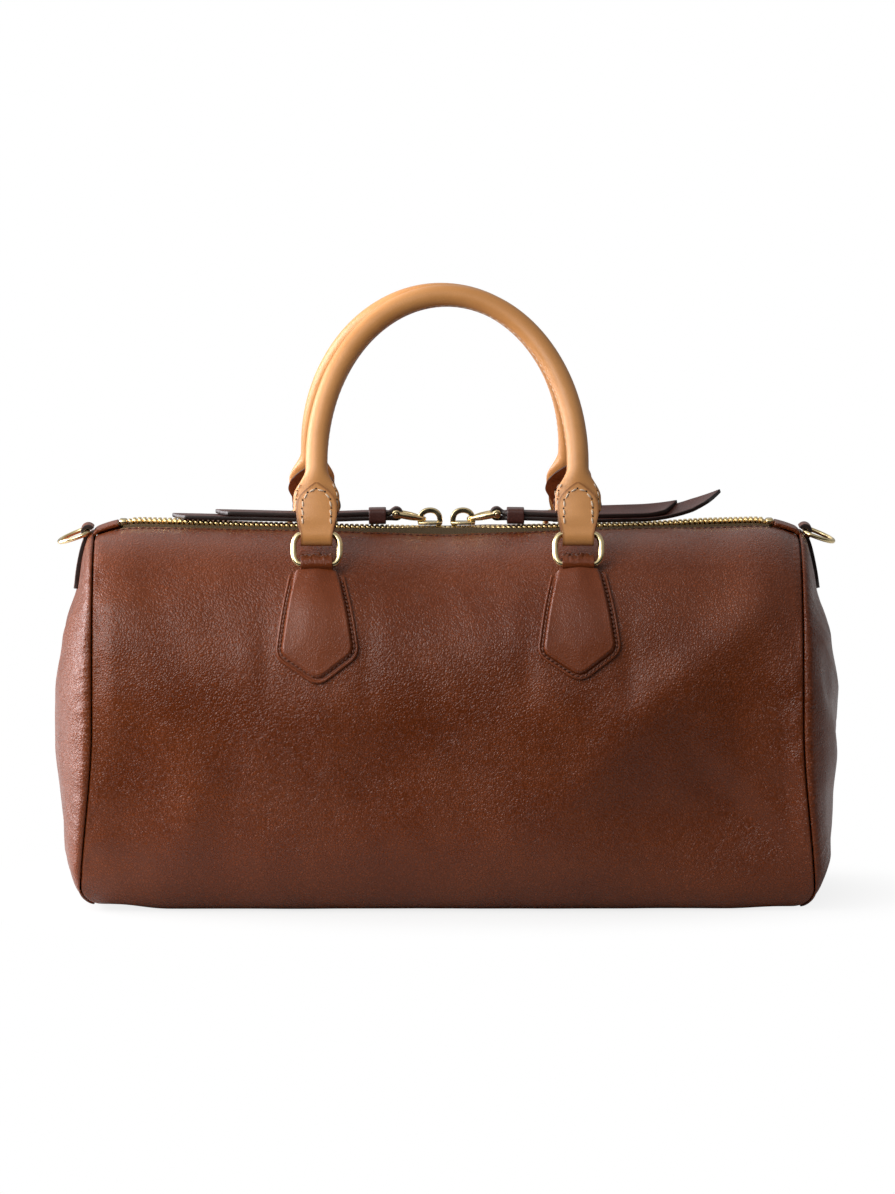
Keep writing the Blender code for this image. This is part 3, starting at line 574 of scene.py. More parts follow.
def top_at(x):
    """Height of the top line: lowest in the middle, up to a knee near each end, then down."""
    reach = min(abs(x), KNEE)
    beyond = max(0.0, abs(x) - KNEE) / (SEAM_HALF - KNEE)
    return TOP + ZIP_RISE * reach / KNEE - END_DROP * beyond**2


def flared(x, height):
    """The ends spread a little towards the base."""
    return x * (1 + FLARE / SEAM_HALF * ease((FLARE_HEIGHT - height) / FLARE_HEIGHT))


def run_lengths(points):
    """How far along a line of points each of them lies."""
    walked = [0.0]
    for before, after in zip(points, points[1:]):
        walked.append(walked[-1] + math.dist(before, after))
    return walked


def outline(x):
    """Half a cross-section at x: distances walked, how far out and how high, as three lists."""
    key = round(x / TABLE_PITCH)
    if key in outline_tables:
        return outline_tables[key]
    top = top_at(x)
    out = BAG_HALF_DEPTH - END_DEPTH_LOSS * (x / SEAM_HALF) ** 2
    points = []
    for step in range(ARC_STEPS + 1):
        turn = math.pi / 2 * step / ARC_STEPS
        rise = max(0.0, math.cos(turn)) ** UPPER_ROUNDNESS
        points.append((out * math.sin(turn) ** UPPER_ROUNDNESS, WIDEST + (top - WIDEST) * rise))
    for step in range(1, ARC_STEPS + 1):
        turn = math.pi / 2 * step / ARC_STEPS
        wide = max(0.0, math.cos(turn)) ** LOWER_ROUNDNESS
        fallen = 1 - math.sin(turn) ** LOWER_ROUNDNESS
        points.append((BASE_FLAT_HALF + (out - BASE_FLAT_HALF) * wide, WIDEST * fallen))
    points.append((0.0, 0.0))
    outs, heights = zip(*points)
    outline_tables[key] = (run_lengths(points), outs, heights)
    return outline_tables[key]


def between(values, index, value):
    """Which share of the way a value lies from the entry before an index to the one at it."""
    return (value - values[index - 1]) / (values[index] - values[index - 1])


def segment_at(walked, distance):
    """The index of the point after a distance along a line, and the share of the way to it."""
    index = min(max(bisect_left(walked, distance), 1), len(walked) - 1)
    return index, between(walked, index, distance)


def walk(x, distance):
    """How far out and how high the outline is, that far along it from the zip."""
    walked, outs, heights = outline(x)
    index, share = segment_at(walked, min(max(distance, 0.0), walked[-1]))
    return blend(outs[index - 1], outs[index], share), blend(heights[index - 1], heights[index], share)


def girth(x):
    return outline(x)[0][-1]


def distance_at_reach(x, reach):
    """How far along the outline it is out by this much, near the zip."""
    walked, outs, _ = outline(x)
    index = next(place for place, value in enumerate(outs) if value >= reach)
    return blend(walked[index - 1], walked[index], between(outs, index, reach))


def distance_at_height(x, height):
    """How far along the outline it first comes down to a height."""
    walked, _, heights = outline(x)
    index = next(place for place, value in enumerate(heights) if value <= height)
    return blend(walked[index - 1], walked[index], between(heights, index, height))


def across_skin(x, distance):
    """The outward direction of the skin there, as (out, up)."""
    ahead = walk(x, distance + 0.002)
    behind_it = walk(x, distance - 0.002)
    along = Vector((ahead[0] - behind_it[0], ahead[1] - behind_it[1])).normalized()
    return Vector((-along.y, along.x))


print("half the girth at the middle is", round(girth(0.0) * 1000, 1), "mm")

# %% [markdown]
# ## How the leather gives
# Nothing on a soft bag is a perfect curve. The panels are pulled at the handle patches, sink a
# little between them and ripple where they are gathered into the end seams. The lower right of
# the front has sunk in under a slanting fold, and shallow folds run over the lower left. `give`
# adds all of that, in metres, to the outline. It dies away at the seams, where several layers
# hold the leather straight.

# %% Softness of the panels
FITTING_X = 0.0615
DENT_DEPTH = 0.0098
DENT_FLOOR = 0.046
DENT_TOP = 0.134
FOLD_RISE = 0.76
FOLD_START_X = 0.069
FOLD_START_HEIGHT = 0.072
CORNER_RADIUS = 0.011
CORNER_RISE = {-1: 0.0024, 1: 0.0009}

# A row for each shallow fold of the front: how far it stands out, how x and the height add up
# to its line, where that line lies and how wide it is, and the height and reach of its swell.
SHALLOW_FOLDS = (
    (0.0013, 0.80, 0.60, 0.150, 0.006, 0.040, 0.026),
    (-0.0009, 0.80, 0.60, 0.137, 0.006, 0.045, 0.026),
    (-0.0020, 1.0, 0.0, -0.146, 0.013, 0.052, 0.036),
    (0.0012, 1.0, -0.10, -0.125, 0.009, 0.048, 0.030),
    (-0.0009, 1.0, -0.14, -0.108, 0.008, 0.052, 0.028),
)


def front_dent(x, height, near_seam):
    """How deep the lower right of the front sinks, how far the fold over it stands out, and
    how far inside the end seam the point lies, from 0 to 1.
    """
    overhang = min(DENT_TOP, FOLD_START_HEIGHT + FOLD_RISE * (x - FOLD_START_X))
    sunken = ease((overhang - height) / max(0.020, overhang - DENT_FLOOR)) * ease(height / DENT_FLOOR)
    inside = ease(near_seam / 0.034)
    dent = DENT_DEPTH * sunken * ease((x - 0.046) / 0.080)
    fold = 0.0030 * bell(height - overhang, 0.010, 0.016) * ease((x - 0.050) / 0.050)
    return dent, fold, inside


def give(x, distance, face):
    """How far the leather stands off its outline at a point of the front (-1) or rear (1) panel."""
    _, height = walk(x, distance)
    held = ease(distance / 0.030) * ease((girth(x) - BASE_SEAM_HALF - distance) / 0.035)
    near_seam = SEAM_HALF - GAP - abs(x)
    loose = held * ease(near_seam / 0.010)
    sway = noise.noise(Vector((x * 13 + face * 7.3, height * 15, face * 2.1)))
    detail = noise.noise(Vector((x * 34, height * 30 + face * 5.7, 3.0)))
    fold_line = noise.noise(Vector((x * 60 + height * 25, height * 18 - x * 8, 8.0 + face)))
    near_patch = bell(abs(x), FITTING_X, 0.030) * ease((height - 0.090) / 0.030)
    off = (0.0034 * sway * (1 - 0.75 * near_patch) + 0.0009 * detail + 0.0004 * fold_line) * loose
    gather = math.sin(height * 230 + 2.0 * math.sin(height * 55 + x * 9) + face)
    off += 0.0005 * gather * math.exp(-near_seam / 0.016) * ease(near_seam / 0.004) * held
    tight = math.sin(height * 2500 + 3.0 * math.sin(height * 190 + face))
    off += 0.00011 * tight * bell(near_seam, 0.0022, 0.0022) * held
    if face < 0:
        dent, fold, inside = front_dent(x, height, near_seam)
        off -= dent * loose * blend(0.45, 1.0, inside)
        off += fold * loose * inside
        for proud, across, up, line, width, middle, spread in SHALLOW_FOLDS:
            off += proud * bell(x * across + height * up, line, width) * bell(height, middle, spread) * loose
        off -= 0.0016 * bell(x, 0.0, 0.040) * bell(height, 0.150, 0.020) * held
        pull = abs(abs(x) - FITTING_X) - 0.020
        off -= 0.0008 * bell(pull, 0.004, 0.005) * bell(height, 0.120, 0.025) * loose
    return off


def drop_of_round(radius, inwards):
    """How far a rounded edge lies below its top, this far in from its side."""
    return radius - math.sqrt(max(0.0, radius**2 - (radius - inwards) ** 2))


def seam_roll(edge_distance, radius=0.0010):
    """How far a turned edge drops into its seam, this far from it."""
    if edge_distance >= radius:
        return 0.0
    return drop_of_round(radius, max(0.0, edge_distance))


def round_corner(spot):
    """Draw a point of the body in, and up off the table, where the bag's lower corners are rounded."""
    share = ease((abs(spot.x) - 0.130) / 0.038)
    if spot.z < CORNER_RADIUS:
        spot.x -= math.copysign(drop_of_round(CORNER_RADIUS, spot.z) * share, spot.x)
    raised = CORNER_RISE[-1 if spot.x < 0 else 1]
    spot.z += raised * share * ease(1 - spot.z / 0.030)
    return spot


def skin(x, distance, face, lift=0.0):
    """The point of the front or rear panel there, lifted off its outer side."""
    out, height = walk(x, distance)
    normal = across_skin(x, distance)
    lift += give(x, distance, face) - seam_roll(SEAM_HALF - GAP - abs(x))
    spot = Vector((flared(x, height), face * (out + normal.x * lift), height + normal.y * lift))
    spot.z = max(spot.z, 0.0) - 0.0010 * ease((0.024 - distance) / 0.012)
    return round_corner(spot)


def skin_and_outwards(x, distance, face):
    """A point of the panel, and the direction that is outwards there."""
    here = skin(x, distance, face)
    right = (skin(x + 0.0015, distance, face) - here).normalized()
    down = (skin(x, distance + 0.0015, face) - here).normalized()
    outwards = right.cross(down) if face > 0 else down.cross(right)
    return here, outwards.normalized()


print("give at the dent is", round(give(0.118, 0.20, -1) * 1000, 2), "mm")

# %% [markdown]
# ## Cutting a sheet of leather
# A sheet starts as a grid, which is laid where a rule says and then gets its thickness and a
# softened edge, as a maker skives and burnishes it. The grid keeps its texture coordinates.
# Working from a rule keeps neighbours in register, which pushing points by eye would not.

# %% The sheet helper
def turn_out(piece):
    """Turn all faces of an open sheet over."""
    edit_whole(piece)
    bpy.ops.mesh.flip_normals()
    stop_editing()


def lay_grid(name, across_steps, along_steps, place, turned=False):
    """A grid laid by place(across, along), both shares from 0 to 1, and turned over if asked."""
    let_go()
    bpy.ops.mesh.primitive_grid_add(x_subdivisions=across_steps, y_subdivisions=along_steps, size=1.0)
    piece = start_piece(name)
    for point in piece.data.vertices:
        point.co = place(point.co.x + 0.5, point.co.y + 0.5)
    if turned:
        turn_out(piece)
    return piece


def thicken(piece, thickness, offset=-1.0, rounding=0.0, segments=2, finishes=(), even=True):
    """Give a laid sheet its thickness. finishes, if given, are those of its sides and its cut edge."""
    settings = dict(thickness=thickness, offset=offset, use_even_offset=even)
    if finishes:
        settings["material_offset_rim"] = 1
    for finish in finishes:
        piece.data.materials.append(finish)
    apply_modifier(piece, "SOLIDIFY", **settings)
    if rounding:
        round_edges(piece, rounding, segments)
    smooth(piece, 45)


def mark_edge_dye_and_shade(piece, shades):
    """Note at each point how far the piece takes its leather's border colour."""
    edge_dye_and_shade = piece.data.attributes.new("edge_dye_and_shade", "FLOAT", "POINT")
    for index, shade in enumerate(shades):
        edge_dye_and_shade.data[index].value = shade


def close_seams(piece, distance=0.00001):
    """Merge points that lie on each other, as where a sheet meets itself."""
    edit_whole(piece)
    bpy.ops.mesh.remove_doubles(threshold=distance)
    stop_editing()


def dense_ends(share, steps, length, edge, edge_steps):
    """Where a grid line falls along a length, with closer lines in the last stretch at each end."""
    line = round(share * steps)
    if line <= edge_steps:
        return edge * line / edge_steps
    if line >= steps - edge_steps:
        return length - edge * (steps - line) / edge_steps
    return blend(edge, length - edge, (line - edge_steps) / (steps - 2 * edge_steps))


# %% [markdown]
# ## Front, rear and base panels
# The front and rear are single hides that run from the zip over the widest part and under the
# bag. Their side edges roll into the end seams. The base is a flat piece between them.

# %% Body panels
FACES = (("front", -1), ("rear", 1))
SIDES = (("left", -1), ("right", 1))
PANEL_COLUMNS = 210
PANEL_ROWS = 250
PANEL_EDGE = 0.009
SEAM_STRETCH = 0.0050
SEAM_COLUMNS = 14


def make_panel(word, face):
    half = SEAM_HALF - GAP

    def place(across, along):
        x = dense_ends(across, PANEL_COLUMNS, 2 * half, SEAM_STRETCH, SEAM_COLUMNS) - half
        start = distance_at_reach(x, PANEL_EDGE)
        flat = girth(x) - BASE_FLAT_HALF
        if along > 0.999:
            end = skin(x, flat, face)
            return Vector((end.x, face * (BASE_SEAM_HALF + GAP), end.z))
        return skin(x, blend(start, flat, along * PANEL_ROWS / (PANEL_ROWS - 1)), face)

    panel = lay_grid(f"{word}_leather", PANEL_COLUMNS, PANEL_ROWS, place, turned=face < 0)
    thicken(panel, LEATHER, rounding=0.0006)
    settle(panel, "bag", brown_leather, f"{word}_panel")


def make_base():
    def place(across, along):
        x = flared((SEAM_HALF - GAP) * (2 * across - 1), 0.0)
        return round_corner(Vector((x, (2 * along - 1) * BASE_SEAM_HALF, 0.0)))

    base = lay_grid("base_leather", 60, 20, place, turned=True)
    thicken(base, LEATHER, rounding=0.0004)
    settle(base, "bag", brown_leather, "base_panel")


for word, face in FACES:
    make_panel(word, face)
make_base()

# %% [markdown]
# ## The domed ends
# Each end is a rounded piece that is gathered into its seam, so it stands proud of the seam as
# a soft roll, with small puckers, and then swells outwards, most at half height. It starts as a
# disc that is inset ring by ring, which puts its rings parallel to the seam.

# %% End panels
END_BULGE = 0.0186
BULGE_SHARES = (0.43, 0.86, 0.87, 0.99, 1.0, 0.85, 0.53, 0.53)
END_CENTRE = 0.080
SEAM_GROOVE = 0.0002
CLOSE_RINGS = (1.0, 0.9998, 0.999, 0.9975, 0.995, 0.9915, 0.987, 0.981, 0.974, 0.966, 0.957, 0.947)
RING_PITCH = 0.0205


def end_bulge_at(height):
    place = min(max(height / TOP, 0.0), 1.0) * (len(BULGE_SHARES) - 1)
    index = min(int(place), len(BULGE_SHARES) - 2)
    return END_BULGE * blend(BULGE_SHARES[index], BULGE_SHARES[index + 1], ease(place - index))


def end_reach(height, ring):
    """How far out to the side an end stands at a height, a share ring of the way to its seam."""
    seam = flared(SEAM_HALF, height)
    swell = SEAM_HALF + end_bulge_at(height) - seam
    fullness = blend(3.2, 4.6, ease((0.034 - height) / 0.034))
    return seam + SEAM_GROOVE + (swell - SEAM_GROOVE) * math.sqrt(max(0.0, 1 - ring**fullness))


def end_point(side, turn, ring):
    """A point of the end panel, at a turn from the top and a share ring of the way to its seam."""
    distance = abs(turn) / math.pi * girth(SEAM_HALF)
    out, height = walk(SEAM_HALF, distance)
    normal = across_skin(SEAM_HALF, distance)
    low = blend(END_CENTRE, height, ring)
    reach = end_reach(low, ring)
    from_seam = reach - flared(SEAM_HALF, low) - SEAM_GROOVE
    on_floor = ease(low / 0.020)
    wander = math.sin(turn * 23 + side) + 0.6 * math.sin(turn * 61 + 2.0 * side)
    pucker = math.sin(turn * 250 + 2.5 * wander) * bell(from_seam, 0.0030, 0.0026)
    wave = math.sin(turn * 44 + 2.2 * math.sin(turn * 9 + side)) * bell(from_seam, 0.0060, 0.0040)
    roll = bell(from_seam, 0.0032, 0.0024)
    spot = Vector((0.0, math.copysign(out, turn) * ring, low))
    lift = (0.0009 * roll + 0.00022 * pucker + 0.0003 * wave) * on_floor - seam_roll(from_seam)
    spot.y += math.copysign(normal.x, turn) * lift
    spot.z += normal.y * lift
    sway = noise.noise(Vector((spot.y * 24 + side * 3, spot.z * 20, side * 4.0)))
    fold = noise.noise(Vector((spot.y * 55, spot.z * 28 + spot.y * 30 * side, side * 9.0)))
    inner = ease((1 - ring) / 0.25)
    soft = (0.0014 * sway + 0.0007 * fold) * inner * on_floor
    slant = spot.z + spot.y * 0.7 * side
    soft -= 0.0022 * bell(slant, 0.062, 0.013) * inner
    soft += 0.0010 * bell(slant, 0.088, 0.008) * inner
    spot.x = side * (reach + min(soft, 0.0004))
    spot.z = max(spot.z, 0.0)
    return round_corner(spot)


def lay_disc(name, spokes, radii, place, turned=False):
    """A filled circle, inset to each smaller radius and laid by place(turn, ring)."""
    let_go()
    bpy.ops.mesh.primitive_circle_add(vertices=spokes, radius=1.0, fill_type="NGON")
    disc = start_piece(name)
    edit_whole(disc)
    for outer, inner in zip(radii, radii[1:]):
        bpy.ops.mesh.inset(thickness=(outer - inner) * math.cos(math.pi / spokes), use_boundary=True)
    bpy.ops.mesh.poke()
    stop_editing()
    for point in disc.data.vertices:
        ring = min(1.0, math.hypot(point.co.x, point.co.y))
        point.co = place(math.atan2(point.co.x, point.co.y), ring)
    if turned:
        turn_out(disc)
    return disc


def make_end(word, side):
    radii = [*CLOSE_RINGS, *(CLOSE_RINGS[-1] - RING_PITCH * step for step in range(1, 45))]

    def place(turn, ring):
        return end_point(side, turn, ring)

    disc = lay_disc(f"{word}_end_leather", 720, radii, place, turned=side < 0)
    thicken(disc, LEATHER / 2, even=False)
    settle(disc, "bag", brown_leather, f"{word}_end_panel")


for word, side in SIDES:
    make_end(word, side)

# %% [markdown]
# ## Stitches
# A stitch is a short piece of thread that dives into the leather at both ends, and in some rows
# a flat dark mark of painted shade stands for the hole between it and the next. One stitch is
# modelled from a ball, drawn out and bowed, and a row is made of copies of it. Each row is one
# piece, because a machine sews it in one go. A stitch is given as its pitch, its length and its thickness.

# %% The sewing helpers
def take_model(piece):
    """Keep a piece's shape as a model to copy, and remove the piece."""
    model = bmesh.new()
    model.from_mesh(piece.data)
    model.verts.index_update()
    bpy.data.objects.remove(piece)
    return model


def make_thread_model():
    """A unit stitch along Y: a ball drawn out, with its ends bowed down."""
    let_go()
    bpy.ops.mesh.primitive_uv_sphere_add(segments=10, ring_count=6, radius=0.5)
    stitch = start_piece("stitch_model")
    for point in stitch.data.vertices:
        x, y, z = point.co
        bow = 0.5 - 2.0 * z * z
        point.co = (y, z, x + bow * 0.35)
    return take_model(stitch)


def copy_row(name, model, places):
    """One piece with a copy of the model at each place, which is a matrix."""
    gathered = bmesh.new()
    mesh = bpy.data.meshes.new(name)
    for place in places:
        made = [gathered.verts.new(place @ point.co) for point in model.verts]
        for face in model.faces:
            gathered.faces.new([made[point.index] for point in face.verts])
    gathered.to_mesh(mesh)
    gathered.free()
    piece = bpy.data.objects.new(name, mesh)
    bpy.context.scene.collection.objects.link(piece)
    smooth(piece, 60)
    return piece


def frame_at(spot, along, outwards, length, width, height):
    """A matrix that lays a unit model along one direction and up another."""
    along = along.normalized()
    sideways = outwards.cross(along).normalized()
    upwards = along.cross(sideways)
    turn = Matrix((sideways, along, upwards)).transposed().to_4x4()
    size = Matrix.Diagonal((width, length, height, 1.0))
    return Matrix.Translation(spot) @ turn @ size


def spaced(line, pitch):
    """Points every pitch along a line of points, with the direction and the line's share at each."""
    walked = [0.0]
    for before, after in zip(line, line[1:]):
        walked.append(walked[-1] + (after - before).length)
    count = max(1, round(walked[-1] / pitch))
    places = []
    for step in range(count):
        index, share = segment_at(walked, walked[-1] * (step + 0.5) / count)
        places.append((line[index - 1].lerp(line[index], share), line[index] - line[index - 1], index, share))
    return places


def sew(name, line, outs, stitch, thread, body, slant=0.0, hole=None):
    """A row of stitches along a line of points; outs are the outward directions at those points."""
    pitch, length, thickness = stitch
    stitches = []
    hole_shades = []
    for spot, heading, index, share in spaced(line, pitch):
        outwards = outs[index - 1].lerp(outs[index], share).normalized()
        along = Matrix.Rotation(slant, 3, outwards) @ heading.normalized()
        lifted = spot + outwards * thickness * 0.05
        stitches.append(frame_at(lifted, along, outwards, length, thickness, thickness))
        halfway = spot + along * pitch / 2
        # Painted shade: a flat dark mark where the thread dives into its hole.
        hole_shades.append(frame_at(halfway, along, outwards, thickness, thickness * 1.1, thickness * 0.25))
    settle(copy_row(name, thread_model, stitches), body, thread)
    if hole is not None:
        settle(copy_row(f"{name}_holes", thread_model, hole_shades[:-1]), body, hole)


thread_model = make_thread_model()
print("a stitch has", len(thread_model.faces), "faces")

# %% [markdown]
# ## The leather beside the zip
# The panel's edge is turned over and sewn down along the zip. The row lies about three
# millimetres from the fold, in thread of the leather's own colour, and with painted shade in its
# stitch holes it shows as a line of dark pricks.

# %% Stitches along the zip
ZIP_STITCH_HALF = 0.158
ZIP_STITCH_IN = 0.0028
ZIP_STITCH_STEPS = 120
ZIP_STITCH = (0.0031, 0.0023, 0.0006)
for word, face in FACES:
    line = []
    outs = []
    for step in range(ZIP_STITCH_STEPS + 1):
        x = blend(-ZIP_STITCH_HALF, ZIP_STITCH_HALF, step / ZIP_STITCH_STEPS)
        here, outwards = skin_and_outwards(x, distance_at_reach(x, PANEL_EDGE) + ZIP_STITCH_IN, face)
        line.append(here)
        outs.append(outwards)
    sew(f"{word}_zip_stitches", line, outs, ZIP_STITCH, brown_thread, "bag", hole=needle_hole_shade)

# %% [markdown]
# ## Zip tape and teeth
# The tape is woven and turned under the leather. It shows as an olive strip beside the teeth,
# a little below their tops, and it dips under the strips that close the zip's ends. One tooth
# is a rounded block with a slanting shoulder. Two rows of copies, half a pitch apart, close
# over the middle like clasped fingers, and towards the ends they stand prouder of the tape.

# %% Zip tape
TEETH_HALF = 0.151
TEETH_TOP_LIFT = 0.0015
STRIP_START = TEETH_HALF + 0.0045
TAPE_HALF = TEETH_HALF + 0.0080
TAPE_INNER = 0.0034
TAPE_OUTER = 0.0140
TAPE_CLOTH = 0.0006
TAPE_SINK = 0.0013


def teeth_top(x):
    return top_at(x) + TEETH_TOP_LIFT


def make_tape(word, face):
    def place(across, along):
        x = TAPE_HALF * (2 * across - 1)
        reach = blend(TAPE_INNER, TAPE_OUTER, along)
        under = walk(x, distance_at_reach(x, max(reach, 0.006)))[1] - LEATHER - TAPE_SINK
        hump = blend(-0.0006, -0.0015, ease((reach - 0.0051) / 0.0010))
        hump += 0.0020 * bell(x, 0.0, 0.034) * bell(reach, 0.0055, 0.003)
        hump -= 0.0026 * ease((abs(x) - STRIP_START + 0.0018) / 0.0014)
        share = ease((reach - 0.0040) / 0.0044)
        return Vector((x, face * reach, blend(top_at(x) + hump, under, share)))

    tape = lay_grid(f"{word}_tape_cloth", 160, 18, place, turned=face < 0)
    thicken(tape, TAPE_CLOTH)
    settle(tape, "bag", zip_cloth, f"{word}_zip_tape")


for word, face in FACES:
    make_tape(word, face)

# %% Zip teeth
TOOTH_PITCH = 0.0024
TOOTH_LENGTH = 0.0038
TOOTH_WIDTH = 0.00185
TOOTH_REACH = 0.0020
UP = Vector((0.0, 0.0, 1.0))


def make_tooth_model():
    """A tooth: a block with a rounded back, narrowed nose and softened edges."""
    let_go()
    bpy.ops.mesh.primitive_cube_add(size=1.0)
    tooth = start_piece("tooth_model")
    edit_whole(tooth)
    bpy.ops.mesh.subdivide(number_cuts=1)
    stop_editing()
    for point in tooth.data.vertices:
        if point.co.y > 0.4:
            point.co.x *= 0.72
            point.co.z *= 0.8
        point.co.x += point.co.z * 0.62
        if abs(point.co.y) < 0.1 and abs(point.co.z) > 0.4:
            point.co.z *= 1.08
    round_edges(tooth, 0.16, segments=1, sharper_than=40)
    return take_model(tooth)


tooth_model = make_tooth_model()
for word, face in FACES:
    places = []
    count = int(2 * TEETH_HALF / TOOTH_PITCH + 0.25 - 0.25 * face)
    for step in range(count):
        x = -TEETH_HALF + TOOTH_PITCH * (step + 0.75 + 0.25 * face)
        proud = ease((abs(x) - 0.095) / 0.030)
        spot = Vector((x, face * TOOTH_REACH, teeth_top(x) - blend(0.0019, 0.0014, proud)))
        height = blend(0.0027, 0.0034, proud)
        places.append(frame_at(spot, Vector((0.0, -face, 0.0)), UP, TOOTH_LENGTH, TOOTH_WIDTH, height))
    row = copy_row(f"{word}_teeth_row", tooth_model, places)
    settle(row, "bag", tooth_gold, f"{word}_zip_teeth")
print("a tooth has", len(tooth_model.faces), "faces")

# %% [markdown]
# ## Ends of the zip
# A small rounded metal stop closes each end of the teeth, and a strip of leather closes the top
# of the bag from there to the seam, with a row of stitches at each side.

# %% Stops and strips
STOP_SIZE = (0.0042, 0.0070, 0.0038)
STOP_ROUNDING = 0.0013
STRIP_WIDTH = 0.0174
STRIP_STITCH_OUT = 0.0066
STRIP_STEPS = 8
STRIP_STITCH = (0.0031, 0.0022, 0.0006)


def make_stop(word, side):
    x = side * (TEETH_HALF + GAP + STOP_SIZE[0] / 2)
    let_go()
    bpy.ops.mesh.primitive_cube_add(size=1.0)
    stop = start_piece(f"{word}_stop")
    middle = (x, 0.0, teeth_top(x) - 0.0012)
    for point in stop.data.vertices:
        point.co = [start + share * size for start, share, size in zip(middle, point.co, STOP_SIZE)]
    apply_modifier(stop, "BEVEL", width=STOP_ROUNDING, segments=4, limit_method="NONE")
    smooth(stop, 50)
    settle(stop, "bag", pale_gold, f"{word}_zip_stop")


def make_strip(word, side):
    def place(across, along):
        x = side * blend(STRIP_START, SEAM_HALF - 0.0006, along)
        y = (across - 0.5) * STRIP_WIDTH
        crown = 0.0005 * (1 - (2 * across - 1) ** 2)
        return Vector((x, y, top_at(x) - 0.0004 + crown - 1.3 * seam_roll(SEAM_HALF - abs(x), 0.0024)))

    strip = lay_grid(f"{word}_strip_leather", 20, 16, place, turned=side < 0)
    thicken(strip, LEATHER, rounding=0.0005)
    settle(strip, "bag", brown_leather, f"{word}_zip_strip")
    for row_word, face in FACES:
        line = []
        for step in range(STRIP_STEPS + 1):
            x = side * blend(STRIP_START + 0.0011, SEAM_HALF - 0.0034, step / STRIP_STEPS)
            line.append(Vector((x, face * STRIP_STITCH_OUT, top_at(x) - 0.0002)))
        name = f"{word}_strip_{row_word}_stitches"
        sew(name, line, [UP] * len(line), STRIP_STITCH, brown_thread, "bag")


for word, side in SIDES:
    make_stop(word, side)
    make_strip(word, side)

# %% [markdown]
# ## Round wire
# Rings and links are bent from round wire. A curve with a round bevel is bent the same way: it
# keeps its thickness through every corner, which pushing a mesh would not.

# %% The wire helper
def bend_wire(name, points, thickness, closed=False, roundness=8):
    data = bpy.data.curves.new(name, "CURVE")
    data.dimensions = "3D"
    data.bevel_depth = thickness / 2
    data.bevel_resolution = roundness
    data.use_fill_caps = not closed
    run = data.splines.new("POLY")
    run.points.add(len(points) - 1)
    for spot, point in zip(run.points, points):
        spot.co = (*point, 1.0)
    run.use_cyclic_u = closed
    piece = bpy.data.objects.new(name, data)
    bpy.context.scene.collection.objects.link(piece)
    hold(piece)
    bpy.ops.object.convert(target="MESH")
    piece = bpy.context.object
    smooth(piece, 50)
    return piece


# %% [markdown]
# ## Where the handles hang
# Each handle hangs on two rings whose lower bars lie in straps on the bag. Rings and handle lean
# in at one angle until the two handles meet over the zip. `handle_point` places things in that
# leaning plane: across, up from the lower bar, and outwards from the plane.

# %% Handle geometry
REAR_SHIFT = 0.0025
PATCH_TOP = 0.1585
RING_WIRE = 0.0029
RING_WIDTH = 0.0217
RING_HEIGHT = 0.0145
RING_SEAT = 0.0030
STRAP_LEATHER = 0.0022
TUBE = 0.0105
HANDLE_HEIGHT = 0.1182
patch_start = distance_at_height(FITTING_X, PATCH_TOP)
bar_lift = 2 * GAP + STRAP_LEATHER + RING_WIRE / 2
bar_spot = walk(FITTING_X, patch_start - RING_SEAT)
bar_normal = across_skin(FITTING_X, patch_start - RING_SEAT)
BAR_OUT = bar_spot[0] + bar_normal.x * bar_lift
BAR_HEIGHT = bar_spot[1] + bar_normal.y * bar_lift
LEAN = math.asin((BAR_OUT - TUBE / 2 - GAP / 2) / (RING_HEIGHT + HANDLE_HEIGHT))
FITTINGS = [(face_word, face, side_word, side) for face_word, face in FACES for side_word, side in SIDES]


def shift_of(face):
    """How far to the left the rear handle's fittings sit."""
    return REAR_SHIFT if face > 0 else 0.0


def handle_point(face, across, up, outwards=0.0):
    out = BAR_OUT - up * math.sin(LEAN) + outwards * math.cos(LEAN)
    height = BAR_HEIGHT + up * math.cos(LEAN) + outwards * math.sin(LEAN)
    return Vector((across - shift_of(face), face * out, height))


def handle_out(face):
    """The outward direction of the handle's plane."""
    return Vector((0.0, face * math.cos(LEAN), math.sin(LEAN)))


print("the handles lean in by", round(math.degrees(LEAN), 1), "degrees")

# %% [markdown]
# ## Kite patches
# Each fitting is sewn on with a kite-shaped patch. Seen close, it has a turned rim, a sunk
# channel that holds slanting stitches in reddish thread, and a raised middle that is padded by
# the strap's tail. Its rings come from insetting a disc, and its height from how far each point
# lies from the patch's edge.

# %% Patch shape
PATCH_CORNERS = (
    (-0.0131, 0.0000), (0.0131, 0.0000), (0.0172, 0.0200), (0.0203, 0.0412), (0.0006, 0.0562),
    (-0.0200, 0.0424), (-0.0170, 0.0200),
)
PATCH_ROUNDINGS = (0.0008, 0.0008, 0.016, 0.0052, 0.0064, 0.0052, 0.016)
PATCH_CENTRE = Vector((0.0, 0.031))
CORNER_STEPS = 7
RIM = 0.0014
CHANNEL = 0.0028
TINY = 1e-6


def rounded_outline(corners, roundings, steps=CORNER_STEPS):
    """A closed outline through corners, each cut back and rounded by its own length."""
    points = []
    count = len(corners)
    for index, (corner, rounding) in enumerate(zip(corners, roundings)):
        here = Vector(corner)
        before = Vector(corners[index - 1])
        after = Vector(corners[(index + 1) % count])
        back = min(rounding, (before - here).length * 0.45)
        ahead = min(rounding, (after - here).length * 0.45)
        start = here + (before - here).normalized() * back
        end = here + (after - here).normalized() * ahead
        for step in range(steps + 1):
            share = step / steps
            first = start.lerp(here, share)
            second = here.lerp(end, share)
            points.append(first.lerp(second, share))
    return points


